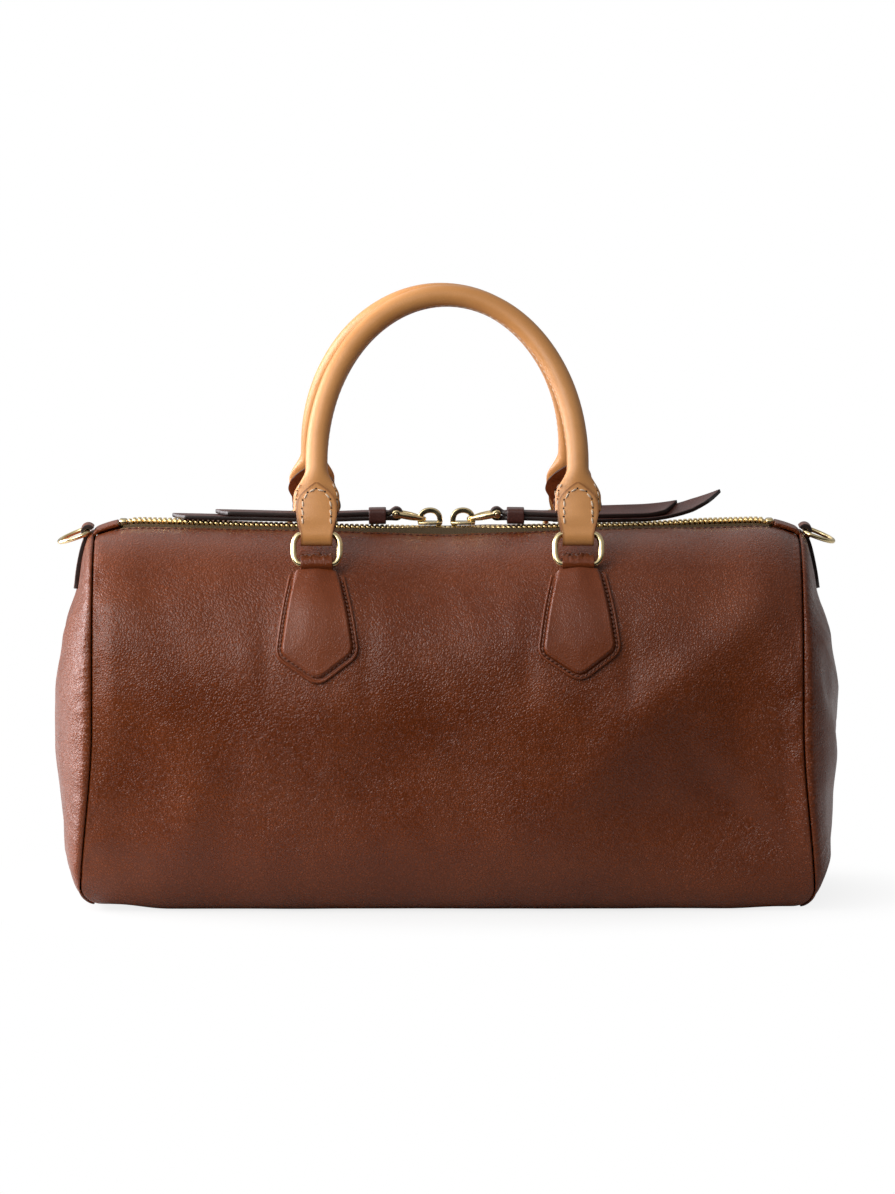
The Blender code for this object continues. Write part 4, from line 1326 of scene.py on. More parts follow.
def edge_gap(point, sewn_edge):
    """How far a point lies from the patch's sewn edge, which leaves out its open top."""
    least = 1.0
    for before, after in zip(sewn_edge, sewn_edge[1:]):
        side = after - before
        length = side.length_squared
        share = 0.0 if length == 0 else min(1.0, max(0.0, (point - before).dot(side) / length))
        least = min(least, (point - before - side * share).length)
    return least


def ray_reach(centre, turn, outline_points):
    """How far the outline lies from a centre in a direction."""
    heading = Vector((math.sin(turn), math.cos(turn)))
    best = 0.0
    for before, after in zip(outline_points, outline_points[1:] + outline_points[:1]):
        side = after - before
        cross = heading.x * side.y - heading.y * side.x
        if abs(cross) < TINY**2:
            continue
        gap_to = before - centre
        distance = (gap_to.x * side.y - gap_to.y * side.x) / cross
        share = (gap_to.x * heading.y - gap_to.y * heading.x) / cross
        if -TINY <= share <= 1 + TINY:
            best = max(best, distance)
    return best


patch_outline = rounded_outline(PATCH_CORNERS, PATCH_ROUNDINGS)
sewn_edge = [point for point in patch_outline[CORNER_STEPS + 1:] if point.y > 0.0001]
sewn_edge = [Vector(PATCH_CORNERS[1])] + sewn_edge + [Vector(PATCH_CORNERS[0])]
print("the patch outline has", len(patch_outline), "points")

# %% Patches
PATCH_STITCH = (0.0023, 0.0021, 0.0009)
PATCH_SPOKES = 240
PATCH_LEATHER = 0.0011
PATCH_DROP = 0.0008
STITCH_IN = 0.0022
patch_reaches = {}


def patch_flat(turn, ring):
    """A point of the flat patch, at a turn round its centre and a share ring of the way out."""
    key = round(turn, 5)
    if key not in patch_reaches:
        patch_reaches[key] = ray_reach(PATCH_CENTRE, turn, patch_outline)
    return PATCH_CENTRE + Vector((math.sin(turn), math.cos(turn))) * patch_reaches[key] * ring


def patch_relief(gap_in, down):
    """Height of a patch's outer side over the skin, by how far a point lies inside its sewn edge."""
    rim = 0.0013 * math.sqrt(max(0.0, 1 - (1 - min(1.0, gap_in / 0.0008)) ** 2))
    channel = -0.0006 * ease((gap_in - RIM + 0.0004) / 0.0006)
    lowered = blend(0.0030, 0.0022, ease((down - 0.014) / 0.030))
    raised = lowered * math.sqrt(ease((gap_in - CHANNEL + 0.0003) / 0.0017))
    raised += 0.0005 * ease((gap_in - 0.004) / 0.011)
    return GAP + rim + channel + raised


def stitch_line(middle, face):
    """The run of a patch's stitches, a fixed way inside its sewn edge, and what is outwards there."""
    line = []
    outs = []
    for before, after in zip(sewn_edge, sewn_edge[1:]):
        for step in range(3):
            point = before.lerp(after, step / 3)
            towards_centre = (PATCH_CENTRE - point).normalized()
            for _ in range(14):
                point = point + towards_centre * (STITCH_IN - edge_gap(point, sewn_edge)) * 0.8
            if point.y < 0.0035:
                continue
            here, outwards = skin_and_outwards(middle + point.x, patch_start + point.y, face)
            line.append(here + outwards * (patch_relief(STITCH_IN, point.y) + 0.0004))
            outs.append(outwards)
    return line, outs


def make_patch(word, face, side):
    middle = side * FITTING_X - shift_of(face)
    shades = []

    def place(turn, ring):
        flat = patch_flat(turn, ring)
        depth = edge_gap(flat, sewn_edge)
        # Painted shade: the band along the sunk channel takes the border colour. Right at the cut edge, the
        # darker colour is dye.
        shades.append(0.15 * bell(depth, 0.0021, 0.0006) + 0.3 * ease((0.0004 - depth) / 0.0004))
        hump = 0.0009 * bell(flat.x, 0.0, 0.0085) * bell(flat.y, 0.0, 0.006)
        down = patch_start + flat.y - side * PATCH_DROP * flat.y / 0.05
        return skin(middle + flat.x, down, face, patch_relief(depth, flat.y) + hump)

    radii = [1.0 - 0.009 * step for step in range(41)] + [0.64 - 0.045 * step for step in range(1, 14)]
    patch = lay_disc(f"{word}_kite", PATCH_SPOKES, radii, place, turned=face < 0)
    mark_edge_dye_and_shade(patch, shades)
    thicken(patch, PATCH_LEATHER)
    settle(patch, "bag", patch_leather, f"{word}_patch")
    line, outs = stitch_line(middle, face)
    sew(f"{word}_kite_stitches", line, outs, PATCH_STITCH, patch_thread, "bag", slant=0.35)


for face_word, face, side_word, side in FITTINGS:
    make_patch(f"{face_word}_{side_word}", face, side)

# %% [markdown]
# ## Ring straps
# Under each patch lies the tail of a strap that loops over the ring's lower bar. What shows is
# a folded bridge of leather as wide as the ring is inside, crumpled where it stands free. Close
# to the bar it only crumples outwards, so the ring can turn in it.

# %% Straps
STRAP_SHEET = 0.0013
STRAP_WIDTH = 0.0156


def strap_path():
    """The strap's run beside the bar: how far downhill, and how high its middle is over the skin."""
    bend = RING_WIRE / 2 + 0.0002 + STRAP_SHEET / 2
    rise = bar_lift
    path = [(blend(0.0130, -0.0020, step / 8), 0.00095) for step in range(9)]
    path += [(-0.0036, 0.0011), (-0.0048, 0.0016), (-0.0056, 0.0024), (-0.0059, 0.0033), (-0.0056, 0.0042)]
    path += [(-0.0048, 0.0051), (-0.0038, 0.0057), (-0.0027, rise + bend - 0.0003), (-0.0014, rise + bend)]
    for step in range(11):
        turn = math.radians(90 - 95 * step / 10)
        path.append((bend * math.cos(turn), rise + bend * math.sin(turn)))
    path += [(0.00275, rise - 0.0010), (0.0034, rise - 0.0017)]
    path += [(0.0044, 0.0023), (0.0070, 0.0022), (0.0100, 0.0022)]
    return path


def make_strap(word, face, side):
    middle = side * FITTING_X - shift_of(face)
    path = strap_path()
    seed = side * 2.0 + face
    shades = []

    def place(across, along):
        row = round(along * (len(path) - 1))
        downhill, rise = path[row]
        # Painted shade: the fold that stands above the bar, in the tab's shade, takes the border colour.
        shades.append(0.75 * ease((0.0002 - downhill) / 0.0025))
        free = ease((rise - 0.0024) / 0.002)
        width = STRAP_WIDTH * (1 - 0.045 * free)
        loose = free * ease((0.0005 - downhill) / 0.0015)
        crumple = noise.noise(Vector((across * 9.0 + seed, row * 0.7, seed))) * 0.0012
        crumple += 0.0004 * math.sin(across * 34 + row * 1.6 + seed)
        crumple = blend(abs(crumple), crumple, ease((-0.0020 - downhill) / 0.0015))
        rise += crumple * (0.25 * free + loose)
        spot = walk(FITTING_X, patch_start - RING_SEAT + downhill)
        out = BAR_OUT + (spot[0] - bar_spot[0]) + bar_normal.x * (rise - bar_lift)
        height = BAR_HEIGHT + (spot[1] - bar_spot[1]) + bar_normal.y * (rise - bar_lift)
        return Vector((middle + (across - 0.5) * width, face * out, height))

    strap = lay_grid(f"{word}_ring_strap", 22, len(path) - 1, place, turned=face > 0)
    mark_edge_dye_and_shade(strap, shades)
    thicken(strap, STRAP_SHEET, offset=0.0, rounding=0.0004)
    settle(strap, "bag", patch_leather, f"{word}_strap")


for face_word, face, side_word, side in FITTINGS:
    make_strap(f"{face_word}_{side_word}", face, side)

# %% [markdown]
# ## Handle rings
# The rings are rounded ovals of heavy round wire, straight at the top and bottom where the
# leather bears on them.

# %% Rings
RING_CORNER_ACROSS = 0.0036
RING_CORNER_UP = 0.0056


def ring_line(steps=14):
    """The run of a ring's wire, as (across, up) from its middle, with oval corners."""
    points = []
    for index, (right, up) in enumerate(((1, 1), (-1, 1), (-1, -1), (1, -1))):
        for step in range(steps + 1):
            turn = math.pi / 2 * (index + step / steps)
            across = right * (RING_WIDTH / 2 - RING_CORNER_ACROSS) + RING_CORNER_ACROSS * math.cos(turn)
            rise = up * (RING_HEIGHT / 2 - RING_CORNER_UP) + RING_CORNER_UP * math.sin(turn)
            points.append((across, rise))
    return points


for face_word, face, side_word, side in FITTINGS:
    word = f"{face_word}_{side_word}"
    middle = side * FITTING_X
    points = [handle_point(face, middle + across, RING_HEIGHT / 2 + up) for across, up in ring_line()]
    ring = bend_wire(f"{word}_gold_ring", points, RING_WIRE, closed=True, roundness=10)
    settle(ring, f"{face_word}_rings", pale_gold, f"{word}_ring")

# %% [markdown]
# ## Rolled handles
# A handle is a cord with leather rolled and sewn round it. It rises straight from the tabs and
# turns over in a high arch. Near each end the cord stops and the leather flattens into a wing
# that the tab is sewn to. The seam of the roll runs along the inside of the arch.

# %% Handles
SEAM_STITCH = (0.0034, 0.0025, 0.0006)
LEG_BOTTOM = 0.0115
LEG_STEPS = 16
WING_TOP = 0.0325
WING_FULL = 0.0185
WING_HALF = 0.0109
WING_HALF_THICK = 0.0026
ARCH_START = 0.0360
SLEEVE_AROUND = 40
SLEEVE_LEATHER = 0.0015
SEAM_SKIP = 18


def sleeve_halves(up):
    """Half the sleeve's width and half its thickness at a height over the ring."""
    flatten = ease((WING_TOP - up) / (WING_TOP - WING_FULL))
    return blend(TUBE / 2, WING_HALF, flatten), blend(TUBE / 2, WING_HALF_THICK, flatten)


def tube_line(steps=72):
    """The middle of the handle, as (across, up) over the rings: two legs and an arch."""
    legs = [blend(LEG_BOTTOM, ARCH_START, step / LEG_STEPS) for step in range(LEG_STEPS)]
    line = [Vector((-FITTING_X, up)) for up in legs]
    for step in range(steps + 1):
        turn = math.pi * step / steps
        rise = (HANDLE_HEIGHT - ARCH_START) * math.sin(turn)
        line.append(Vector((-FITTING_X * math.cos(turn), ARCH_START + rise)))
    line += [Vector((FITTING_X, up)) for up in reversed(legs)]
    return line


def make_sleeve(word, face, line):
    last = len(line) - 1

    def place(across, along):
        index = round(along * last)
        here = line[index]
        if index in (0, last):
            heading = Vector((0.0, 1.0 if index == 0 else -1.0))
        else:
            heading = (line[index + 1] - line[index - 1]).normalized()
        wide, thick = sleeve_halves(here.y)
        turn = 2 * math.pi * across
        seam = 1 - 0.075 * bell(math.remainder(across, 1.0), 0.0, 0.016)
        sway = 1 + 0.012 * noise.noise(Vector((index * 0.12, across * 2.0, face * 3.0)))
        sideways = Vector((heading.y, -heading.x)) * wide * math.cos(turn) * seam * sway
        outwards = thick * math.sin(turn) * sway
        return handle_point(face, here.x + sideways.x, RING_HEIGHT + here.y + sideways.y, outwards)

    sleeve = lay_grid(f"{word}_rolled_handle", SLEEVE_AROUND, last, place)
    close_seams(sleeve)
    if face < 0:
        turn_out(sleeve)
    thicken(sleeve, SLEEVE_LEATHER)
    settle(sleeve, f"{word}_handle", tan_leather, f"{word}_handle_sleeve")


def sew_handle(word, face, line):
    """The stitches of the roll's seam, along the inside of the arch."""
    path = []
    outs = []
    for index, here in enumerate(line[SEAM_SKIP:-SEAM_SKIP], SEAM_SKIP):
        heading = (line[index + 1] - line[index - 1]).normalized()
        inside = Vector((heading.y, -heading.x)) * TUBE / 2 * 0.93
        path.append(handle_point(face, here.x + inside.x, RING_HEIGHT + here.y + inside.y))
        outs.append((path[-1] - handle_point(face, here.x, RING_HEIGHT + here.y)).normalized())
    sew(f"{word}_handle_seam", path, outs, SEAM_STITCH, cream_thread, f"{word}_handle", slant=0.3)


for word, face in FACES:
    handle_line = tube_line()
    make_sleeve(word, face, handle_line)
    sew_handle(word, face, handle_line)

# %% [markdown]
# ## Tabs
# A tab is a strap end folded round the ring's upper bar. Its two lobes clasp the handle's wing,
# pointed like a shield, and an arch of cream stitches sews them through. More cream stitches
# run down the wing's two sides. The edges are dyed and rubbed darker, so the rim has a finish
# of its own. On the inner side of each handle a dark backing covers the lobe.

# %% Tab shape
TAB_LEATHER = 0.0024
TAB_TIP = 0.0242
TAB_ARCH = 0.0125
TAB_HALF = 0.0094
TAB_NECK_HALF = 0.0074
TAB_POINT_HALF = 0.0007
TAB_BEND = RING_WIRE / 2 + GAP + TAB_LEATHER / 2


def tab_half_width(up):
    """Half the lobe's width at a height over the ring's bar."""
    if up <= TAB_ARCH:
        return blend(TAB_NECK_HALF, TAB_HALF, ease((up + 0.002) / (TAB_ARCH - 0.001)))
    share = min(1.0, (up - TAB_ARCH) / (TAB_TIP - TAB_ARCH))
    return blend(TAB_POINT_HALF, TAB_HALF, 1 - share**2.1)


def tab_out(up):
    """How far the middle of the lobe's leather lies off the handle's plane."""
    return blend(TAB_BEND, sleeve_halves(up)[1] + GAP + TAB_LEATHER / 2, ease(up / 0.0085))


def wing_wrap(across, up):
    """How far the lobe bends back over the wing's sides."""
    return 0.0011 * (across / TAB_HALF) ** 2 * ease((up - 0.002) / 0.010)


def tab_border(across, up):
    """How far a point of the lobe lies inside its edge, seen flat."""
    side_gap = tab_half_width(up) - abs(across)
    if up <= TAB_ARCH:
        return side_gap
    slope = (tab_half_width(up - 0.0004) - tab_half_width(up + 0.0004)) / 0.0008
    return side_gap / math.sqrt(1 + slope**2)


# %% Tabs and their backings
TAB_STITCH = (0.0040, 0.0030, 0.0009)
WING_STITCH = (0.0036, 0.0024, 0.0007)
LOBE_STEPS = 30
FOLD_STEPS = 20
BACKING_FOOT = 0.0075
BACKING_ARCH = 0.0150
BACKING_TIP = 0.0290
BACKING_POINT = 0.0140
BACKING_HALF = 0.0112
BACKING_LEATHER = 0.0011
ARCH_STITCH_HALF = 0.0066
ARCH_STITCH_FOOT = 0.0032
ARCH_STITCH_RISE = 0.0080


def make_tab(word, body, face, middle):
    lobe = [TAB_TIP * math.cos(math.pi / 2 * step / LOBE_STEPS) for step in range(LOBE_STEPS + 1)]
    total = 2 * LOBE_STEPS + FOLD_STEPS
    shades = []

    def place(across, along):
        row = round(along * total)
        wide = 2 * across - 1
        if LOBE_STEPS < row < LOBE_STEPS + FOLD_STEPS:
            turn = math.pi * (row - LOBE_STEPS) / FOLD_STEPS
            x = wide * TAB_NECK_HALF
            border = TAB_NECK_HALF - abs(x)
            up = -(TAB_BEND + 0.0013) * math.sin(turn)
            off = TAB_BEND * math.cos(turn)
        else:
            up = lobe[min(row, total - row)]
            x = wide * tab_half_width(up)
            border = tab_border(x, up)
            off = tab_out(up) - wing_wrap(x, up)
            off = off if row <= LOBE_STEPS else -off
        shades.append(0.75 * ease((0.0013 - border) / 0.0009))
        return handle_point(face, middle + x, RING_HEIGHT + up, off)

    tab = lay_grid(f"{word}_tan_tab", 36, total, place, turned=face > 0)
    mark_edge_dye_and_shade(tab, shades)
    thicken(tab, TAB_LEATHER, offset=0.0, rounding=0.0005, finishes=(tan_leather, edge_tan))
    settle(tab, body, None, f"{word}_tab")


def make_backing(word, body, face, middle):
    def place(across, along):
        up = blend(BACKING_FOOT, BACKING_TIP, along)
        narrowed = max(0.0, (up - BACKING_ARCH) / BACKING_POINT) ** 2.2
        wide = blend(0.0009, BACKING_HALF, 1 - narrowed)
        x = (2 * across - 1) * wide * blend(0.70, 1.0, ease((up - BACKING_FOOT) / 0.0085))
        off = tab_out(min(up, 0.0225)) + TAB_LEATHER / 2 + 2 * GAP - 0.0010 * (x / 0.0100) ** 2
        return handle_point(face, middle + x, RING_HEIGHT + up, -off)

    backing = lay_grid(f"{word}_dark_backing", 24, 40, place, turned=face < 0)
    thicken(backing, BACKING_LEATHER, offset=1.0, rounding=0.0003, finishes=(patch_leather, edge_dark))
    settle(backing, body, None, f"{word}_tab_backing")


def arch_line():
    """The run of the stitches on a lobe: up one side, over in an arch and down the other."""
    legs = [blend(ARCH_STITCH_FOOT, TAB_ARCH, step / 7) for step in range(8)]
    line = [(-ARCH_STITCH_HALF, up) for up in legs]
    for step in range(1, 16):
        turn = math.pi * step / 16
        line.append((-ARCH_STITCH_HALF * math.cos(turn), TAB_ARCH + ARCH_STITCH_RISE * math.sin(turn)))
    return line + [(ARCH_STITCH_HALF, blend(TAB_ARCH, ARCH_STITCH_FOOT, step / 7)) for step in range(8)]


def sew_tab(word, body, face, middle):
    lobe_top = TAB_LEATHER / 2
    for row_word, sign, off in (("outer", 1.0, lobe_top), ("inner", -1.0, lobe_top + 0.0018)):
        line = []
        for x, up in arch_line():
            reach = sign * (tab_out(up) + off - wing_wrap(x, up))
            line.append(handle_point(face, middle + x, RING_HEIGHT + up, reach))
        outs = [handle_out(face) * sign] * len(line)
        name = f"{word}_{row_word}_stitches"
        sew(name, line, outs, TAB_STITCH, cream_thread, body, slant=0.12, hole=needle_hole_shade)
    for edge_word, edge in (("near", -1.0), ("far", 1.0)):
        line = []
        for step in range(9):
            up = blend(0.0130, 0.0250, step / 8)
            wide, thick = sleeve_halves(up)
            across = middle + edge * (wide - 0.0013)
            line.append(handle_point(face, across, RING_HEIGHT + up, thick * 0.62 + 0.0002))
        outs = [handle_out(face)] * len(line)
        name = f"{word}_wing_{edge_word}_stitches"
        sew(name, line, outs, WING_STITCH, cream_thread, body, hole=needle_hole_shade)


for face_word, face, side_word, side in FITTINGS:
    for make in (make_tab, make_backing, sew_tab):
        make(f"{face_word}_{side_word}", f"{face_word}_handle", face, side * FITTING_X)

# %% [markdown]
# ## Sliders
# A slider is cast in one: two plates joined by a neck, with a stout open bail standing on the
# upper plate. The plates and the neck start as blocks that are narrowed and rounded, and the
# bail is a flat strip laid in a bow.

# %% Sliders
SLIDER_X = 0.0078
SLIDER_LENGTH = 0.0116
SLIDER_HALF_WIDTH = 0.0044
SLIDER_WAIST = 0.28
UPPER_PLATE = 0.0014
LOWER_PLATE = 0.0012
TEETH_TALL = 0.0024
NECK_HALF_WIDTH = 0.0007
NECK_SINK = 0.0006
PLATE_ROUNDING = 0.0005
BAIL_REACH = 0.0047
BAIL_RISE = 0.0053
BAIL_LENGTH = 0.0114
BAIL_WIRE = 0.0018
LINK_WIRE = 0.0018
PIN_AWAY = 0.0134
PIN_RISE = 0.0026


def rounded_block(name, low, high, rounding, waist=0.0):
    """A block between two corners, subdivided, waisted and with its edges rounded."""
    let_go()
    bpy.ops.mesh.primitive_cube_add(size=1.0)
    piece = start_piece(name)
    edit_whole(piece)
    bpy.ops.mesh.subdivide(number_cuts=2)
    stop_editing()
    centre = (low[1] + high[1]) / 2
    for point in piece.data.vertices:
        narrowed = 1 - waist * (point.co.x * 2) ** 2
        spot = [blend(low[axis], high[axis], point.co[axis] + 0.5) for axis in range(3)]
        spot[1] = centre + (spot[1] - centre) * narrowed
        point.co = spot
    round_edges(piece, rounding, segments=3)
    smooth(piece, 50)
    return piece


def join_pieces(name, *pieces):
    let_go()
    for piece in pieces:
        piece.select_set(True)
    bpy.context.view_layer.objects.active = pieces[0]
    bpy.ops.object.join()
    pieces[0].name = name
    pieces[0].data.name = name
    return pieces[0]


def make_bail(centre, side, foot):
    """A flat bow over the upper plate, narrower at its crown."""
    def place(across, along):
        turn = math.pi * along
        wide = blend(0.0026, 0.0036, abs(math.cos(turn)) ** 2)
        rise = (BAIL_RISE + NECK_SINK) * max(0.0, math.sin(turn)) ** 0.62
        return Vector((centre - side * BAIL_REACH * math.cos(turn), (across - 0.5) * wide, foot + rise))

    bail = lay_grid("bail", 6, 40, place)
    thicken(bail, 0.0025, offset=0.0, rounding=0.0008, segments=3)
    return bail


def make_slider(word, side):
    """Make a slider, and give the places where its link hooks on and where the link's pin is."""
    name = f"{word}_slider_body"
    centre = side * SLIDER_X
    top = teeth_top(centre + side * SLIDER_LENGTH / 2)
    plate_bottom = top + GAP
    plate_top = plate_bottom + UPPER_PLATE
    lower_top = top - TEETH_TALL - 2 * GAP
    low_x, high_x = centre - SLIDER_LENGTH / 2, centre + SLIDER_LENGTH / 2

    def plate(plate_name, bottom, top):
        low = (low_x, -SLIDER_HALF_WIDTH, bottom)
        return rounded_block(plate_name, low, (high_x, SLIDER_HALF_WIDTH, top), PLATE_ROUNDING, SLIDER_WAIST)

    upper = plate(name, plate_bottom, plate_top)
    under = plate("under", lower_top - LOWER_PLATE, lower_top)
    inner = centre - side * SLIDER_LENGTH / 2
    near, far = sorted((inner + side * 0.0004, inner + side * 0.0030))
    neck_low = (near, -NECK_HALF_WIDTH, lower_top - NECK_SINK)
    neck = rounded_block("neck", neck_low, (far, NECK_HALF_WIDTH, plate_bottom + NECK_SINK), 0.0002)
    bail = make_bail(centre, side, plate_top - NECK_SINK)
    settle(join_pieces(name, upper, under, neck, bail), f"slider_{word}", pale_gold, f"{word}_slider")
    hook_x = centre + side * (BAIL_LENGTH / 2 - BAIL_WIRE - GAP - LINK_WIRE / 2)
    hook = Vector((hook_x, 0.0, plate_top + GAP + LINK_WIRE / 2))
    return hook, hook + Vector((side * PIN_AWAY, 0.0, PIN_RISE))


link_ends = {word: make_slider(word, side) for word, side in SIDES}

# %% [markdown]
# ## Links and pins
# A forked link hooks on each bail. Its two arms are one bent wire, flattened on edge towards
# their round eyes, and a pin with small heads holds the pull between them.

# %% Links
FORK_SHAPE = (
    (1.0, 1.0), (0.80, 0.97), (0.62, 0.90), (0.46, 0.70), (0.34, 0.42), (0.24, 0.16), (0.14, 0.0),
    (0.05, -0.25), (0.0, -0.60),
)
FORK_NARROW = 0.0024
FORK_WIDE = 0.0044
EYE_RADIUS = 0.0020
EYE_DEPTH = 0.0017
PIN_RADIUS = 0.00095
PIN_LENGTH = 0.0066
HEAD_RADIUS = 0.0009
HEAD_OUT = 0.0052
HEAD_FLATNESS = 0.35


def turned_bar(name, sides, radius, length, middle, rounding):
    """A round bar that lies across the zip, with its rims rounded."""
    let_go()
    bpy.ops.mesh.primitive_cylinder_add(
        vertices=sides, radius=radius, depth=length, location=middle, rotation=(math.pi / 2, 0.0, 0.0)
    )
    bar = start_piece(name)
    round_edges(bar, rounding)
    smooth(bar, 50)
    return bar


def make_fork(name, hook, pin):
    """Two arms from the hook to the pin, flattened on edge towards their eyes."""
    arm = []
    for along, wide in FORK_SHAPE:
        arm.append(hook.lerp(pin, along) + Vector((0.0, blend(FORK_NARROW, FORK_WIDE, wide), 0.0)))
    other = [Vector((point.x, -point.y, point.z)) for point in reversed(arm)]
    fork = bend_wire(name, arm + other, LINK_WIRE, roundness=6)
    for point in fork.data.vertices:
        along = min(1.0, max(0.0, (point.co.x - hook.x) / (pin.x - hook.x)))
        middle = blend(hook.z, pin.z, along)
        point.co.z = middle + (point.co.z - middle) * blend(1.1, 1.75, ease(along / 0.5))
    return fork


def make_head(pin, sign):
    """The flattened head of a pin."""
    out = sign * HEAD_OUT
    let_go()
    bpy.ops.mesh.primitive_uv_sphere_add(
        segments=20, ring_count=10, radius=HEAD_RADIUS, location=(pin.x, out, pin.z)
    )
    head = start_piece("head")
    for point in head.data.vertices:
        point.co.y = out + (point.co.y - out) * HEAD_FLATNESS
    smooth(head, 60)
    return head


def make_link(word):
    hook, pin = link_ends[word]
    parts = [make_fork(f"{word}_fork", hook, pin)]
    for sign in (-1, 1):
        spot = (pin.x, sign * FORK_WIDE, pin.z)
        parts.append(turned_bar("eye", 28, EYE_RADIUS, EYE_DEPTH, spot, 0.0004))
    settle(join_pieces(f"{word}_fork", *parts), f"link_{word}", pale_gold, f"{word}_link")
    rod = turned_bar(f"{word}_pin_rod", 24, PIN_RADIUS, PIN_LENGTH, (pin.x, 0.0, pin.z), 0.0002)
    rod = join_pieces(f"{word}_pin_rod", rod, make_head(pin, -1), make_head(pin, 1))
    settle(rod, f"link_{word}", pale_gold, f"{word}_link_pin")


for word, side in SIDES:
    make_link(word)

# %% [markdown]
# ## Leather pulls
# Each pull is one long strap folded over the pin, so that a short layer lies on a long one, and
# a narrow keeper band holds them together near the pin. Both ends are cut on a slant. The right
# one's long end curls up, and it lies a little rolled towards the front. The edges are painted
# almost black.

# %% Pulls
PULL_LEATHER = 0.0020
PULL_LONG = 0.1035
PULL_SHORT = 0.0830
PULL_WIDTH = 0.0094
PULL_NECK = 0.0058
PULL_END_WIDTH = 0.0112
PULL_CURL = 0.0085
CURL_LENGTH = 0.036
PULL_ROLL = math.radians(20)
LAYER_STEPS = 60
PULL_FOLD_STEPS = 16
SLANTED_TIP = 0.011
PULL_BEND = PIN_RADIUS + GAP + PULL_LEATHER / 2
ZIP_SLOPE = ZIP_RISE / KNEE
KEEPER_START = 0.0036
KEEPER_WIDTH = 0.0082
KEEPER_LEATHER = 0.0012


def settle_to(pin, side, distance):
    """How far over the pin's fold a pull lies, this far along it, as it comes down on the zip."""
    resting = teeth_top(pin.x) + GAP + PULL_LEATHER / 2 - (pin.z - PULL_BEND)
    down = resting * ease(distance / 0.044)
    lift = max(0.0, distance - (PULL_LONG - CURL_LENGTH)) / CURL_LENGTH
    curl = PULL_CURL if side > 0 else 0.0
    return down + ZIP_SLOPE * distance + curl * lift**2


def make_strap_pull(word, side):
    pin = link_ends[word][1]
    total = 2 * LAYER_STEPS + PULL_FOLD_STEPS

    def place(across, along):
        row = round(along * total)
        if row <= LAYER_STEPS:
            tip = PULL_LONG
            distance = tip * (1 - row / LAYER_STEPS) ** 1.25
            height = settle_to(pin, side, distance) - PULL_BEND
        elif row < LAYER_STEPS + PULL_FOLD_STEPS:
            tip = PULL_LONG
            turn = math.pi * (row - LAYER_STEPS) / PULL_FOLD_STEPS
            distance = -PULL_BEND * math.sin(turn)
            height = -PULL_BEND * math.cos(turn)
        else:
            tip = PULL_SHORT
            distance = tip * ((row - LAYER_STEPS - PULL_FOLD_STEPS) / LAYER_STEPS) ** 1.25
            stacked = settle_to(pin, side, distance) - PULL_BEND + PULL_LEATHER + GAP
            height = blend(PULL_BEND, stacked, ease(distance / KEEPER_START))
        width = blend(PULL_NECK, PULL_WIDTH, ease((distance - 0.0022) / 0.0034))
        width = blend(width, PULL_END_WIDTH, ease(distance / PULL_LONG))
        near_tip = max(0.0, 1 - (tip - distance) / SLANTED_TIP)
        skew = width * 0.55 * near_tip * (0.5 - across)
        cup = 0.0003 * (2 * across - 1) ** 2 * ease(distance / 0.006)
        rolled = ease((distance - 0.020) / 0.030) if side > 0 else 0.0
        roll = PULL_ROLL * rolled
        wide = (across - 0.5) * width
        rise = height + cup + wide * math.sin(roll) + 0.0010 * rolled
        return Vector((pin.x + side * (distance - skew), wide * math.cos(roll), pin.z + rise))

    pull = lay_grid(f"{word}_strap_pull", 10, total, place, turned=side > 0)
    thicken(pull, PULL_LEATHER, offset=0.0, rounding=0.0004, finishes=(dark_leather, edge_dark))
    settle(pull, f"pull_{word}", None, f"{word}_pull")


def make_keeper(word, side):
    pin = link_ends[word][1]
    low = -PULL_BEND - PULL_LEATHER / 2 - GAP
    start = KEEPER_START + 0.0012
    half = PULL_WIDTH / 2 + GAP
    tall = 2 * PULL_LEATHER + 3 * GAP
    corners = ((-half, 0.0), (half, 0.0), (half, tall), (-half, tall))
    loop = rounded_outline(corners, (0.0009,) * 4, steps=4)

    def place(across, along):
        distance = start + KEEPER_WIDTH * across
        spot = loop[round(along * len(loop)) % len(loop)]
        height = pin.z + low + settle_to(pin, side, distance) + spot.y
        return Vector((pin.x + side * distance, spot.x, height))

    band = lay_grid(f"{word}_keeper_band", 8, len(loop), place)
    close_seams(band)
    if side > 0:
        turn_out(band)
    thicken(band, KEEPER_LEATHER, offset=1.0, rounding=0.0004, finishes=(dark_leather, edge_dark))
    settle(band, f"pull_{word}", None, f"{word}_pull_keeper")


for word, side in SIDES:
    make_strap_pull(word, side)
    make_keeper(word, side)

# %% [markdown]
# ## Rings at the ends
# A half-round ring hangs in a leather loop at the top of each end, for a shoulder strap, and
# hangs very slightly askew. The loop's fold shows as a small dome over the seam, and its tail
# lies down the domed end.

# %% End rings and their holders
END_RING_WIRE = 0.0021
END_RING_HOLE = 0.0029
END_RING_SKEW = math.radians(2.5)
END_RING_TILT = math.radians(21)
END_RING_OUT = 0.1702
END_RING_HEIGHT = 0.1736
END_RING_SPAN = 0.0195
END_RING_REACH = 0.0146
END_RING_SHOULDER = 0.0021
END_RING_CORNER = 0.0030
HOLDER_LEATHER = 0.0020
HOLDER_HALF = 0.0060
HOLDER_FOLD_STEPS = 18
TAIL_STEPS = 24
TAIL_START = 0.0025
TAIL_END = 0.0276
TAIL_ROUND_FROM = 0.75


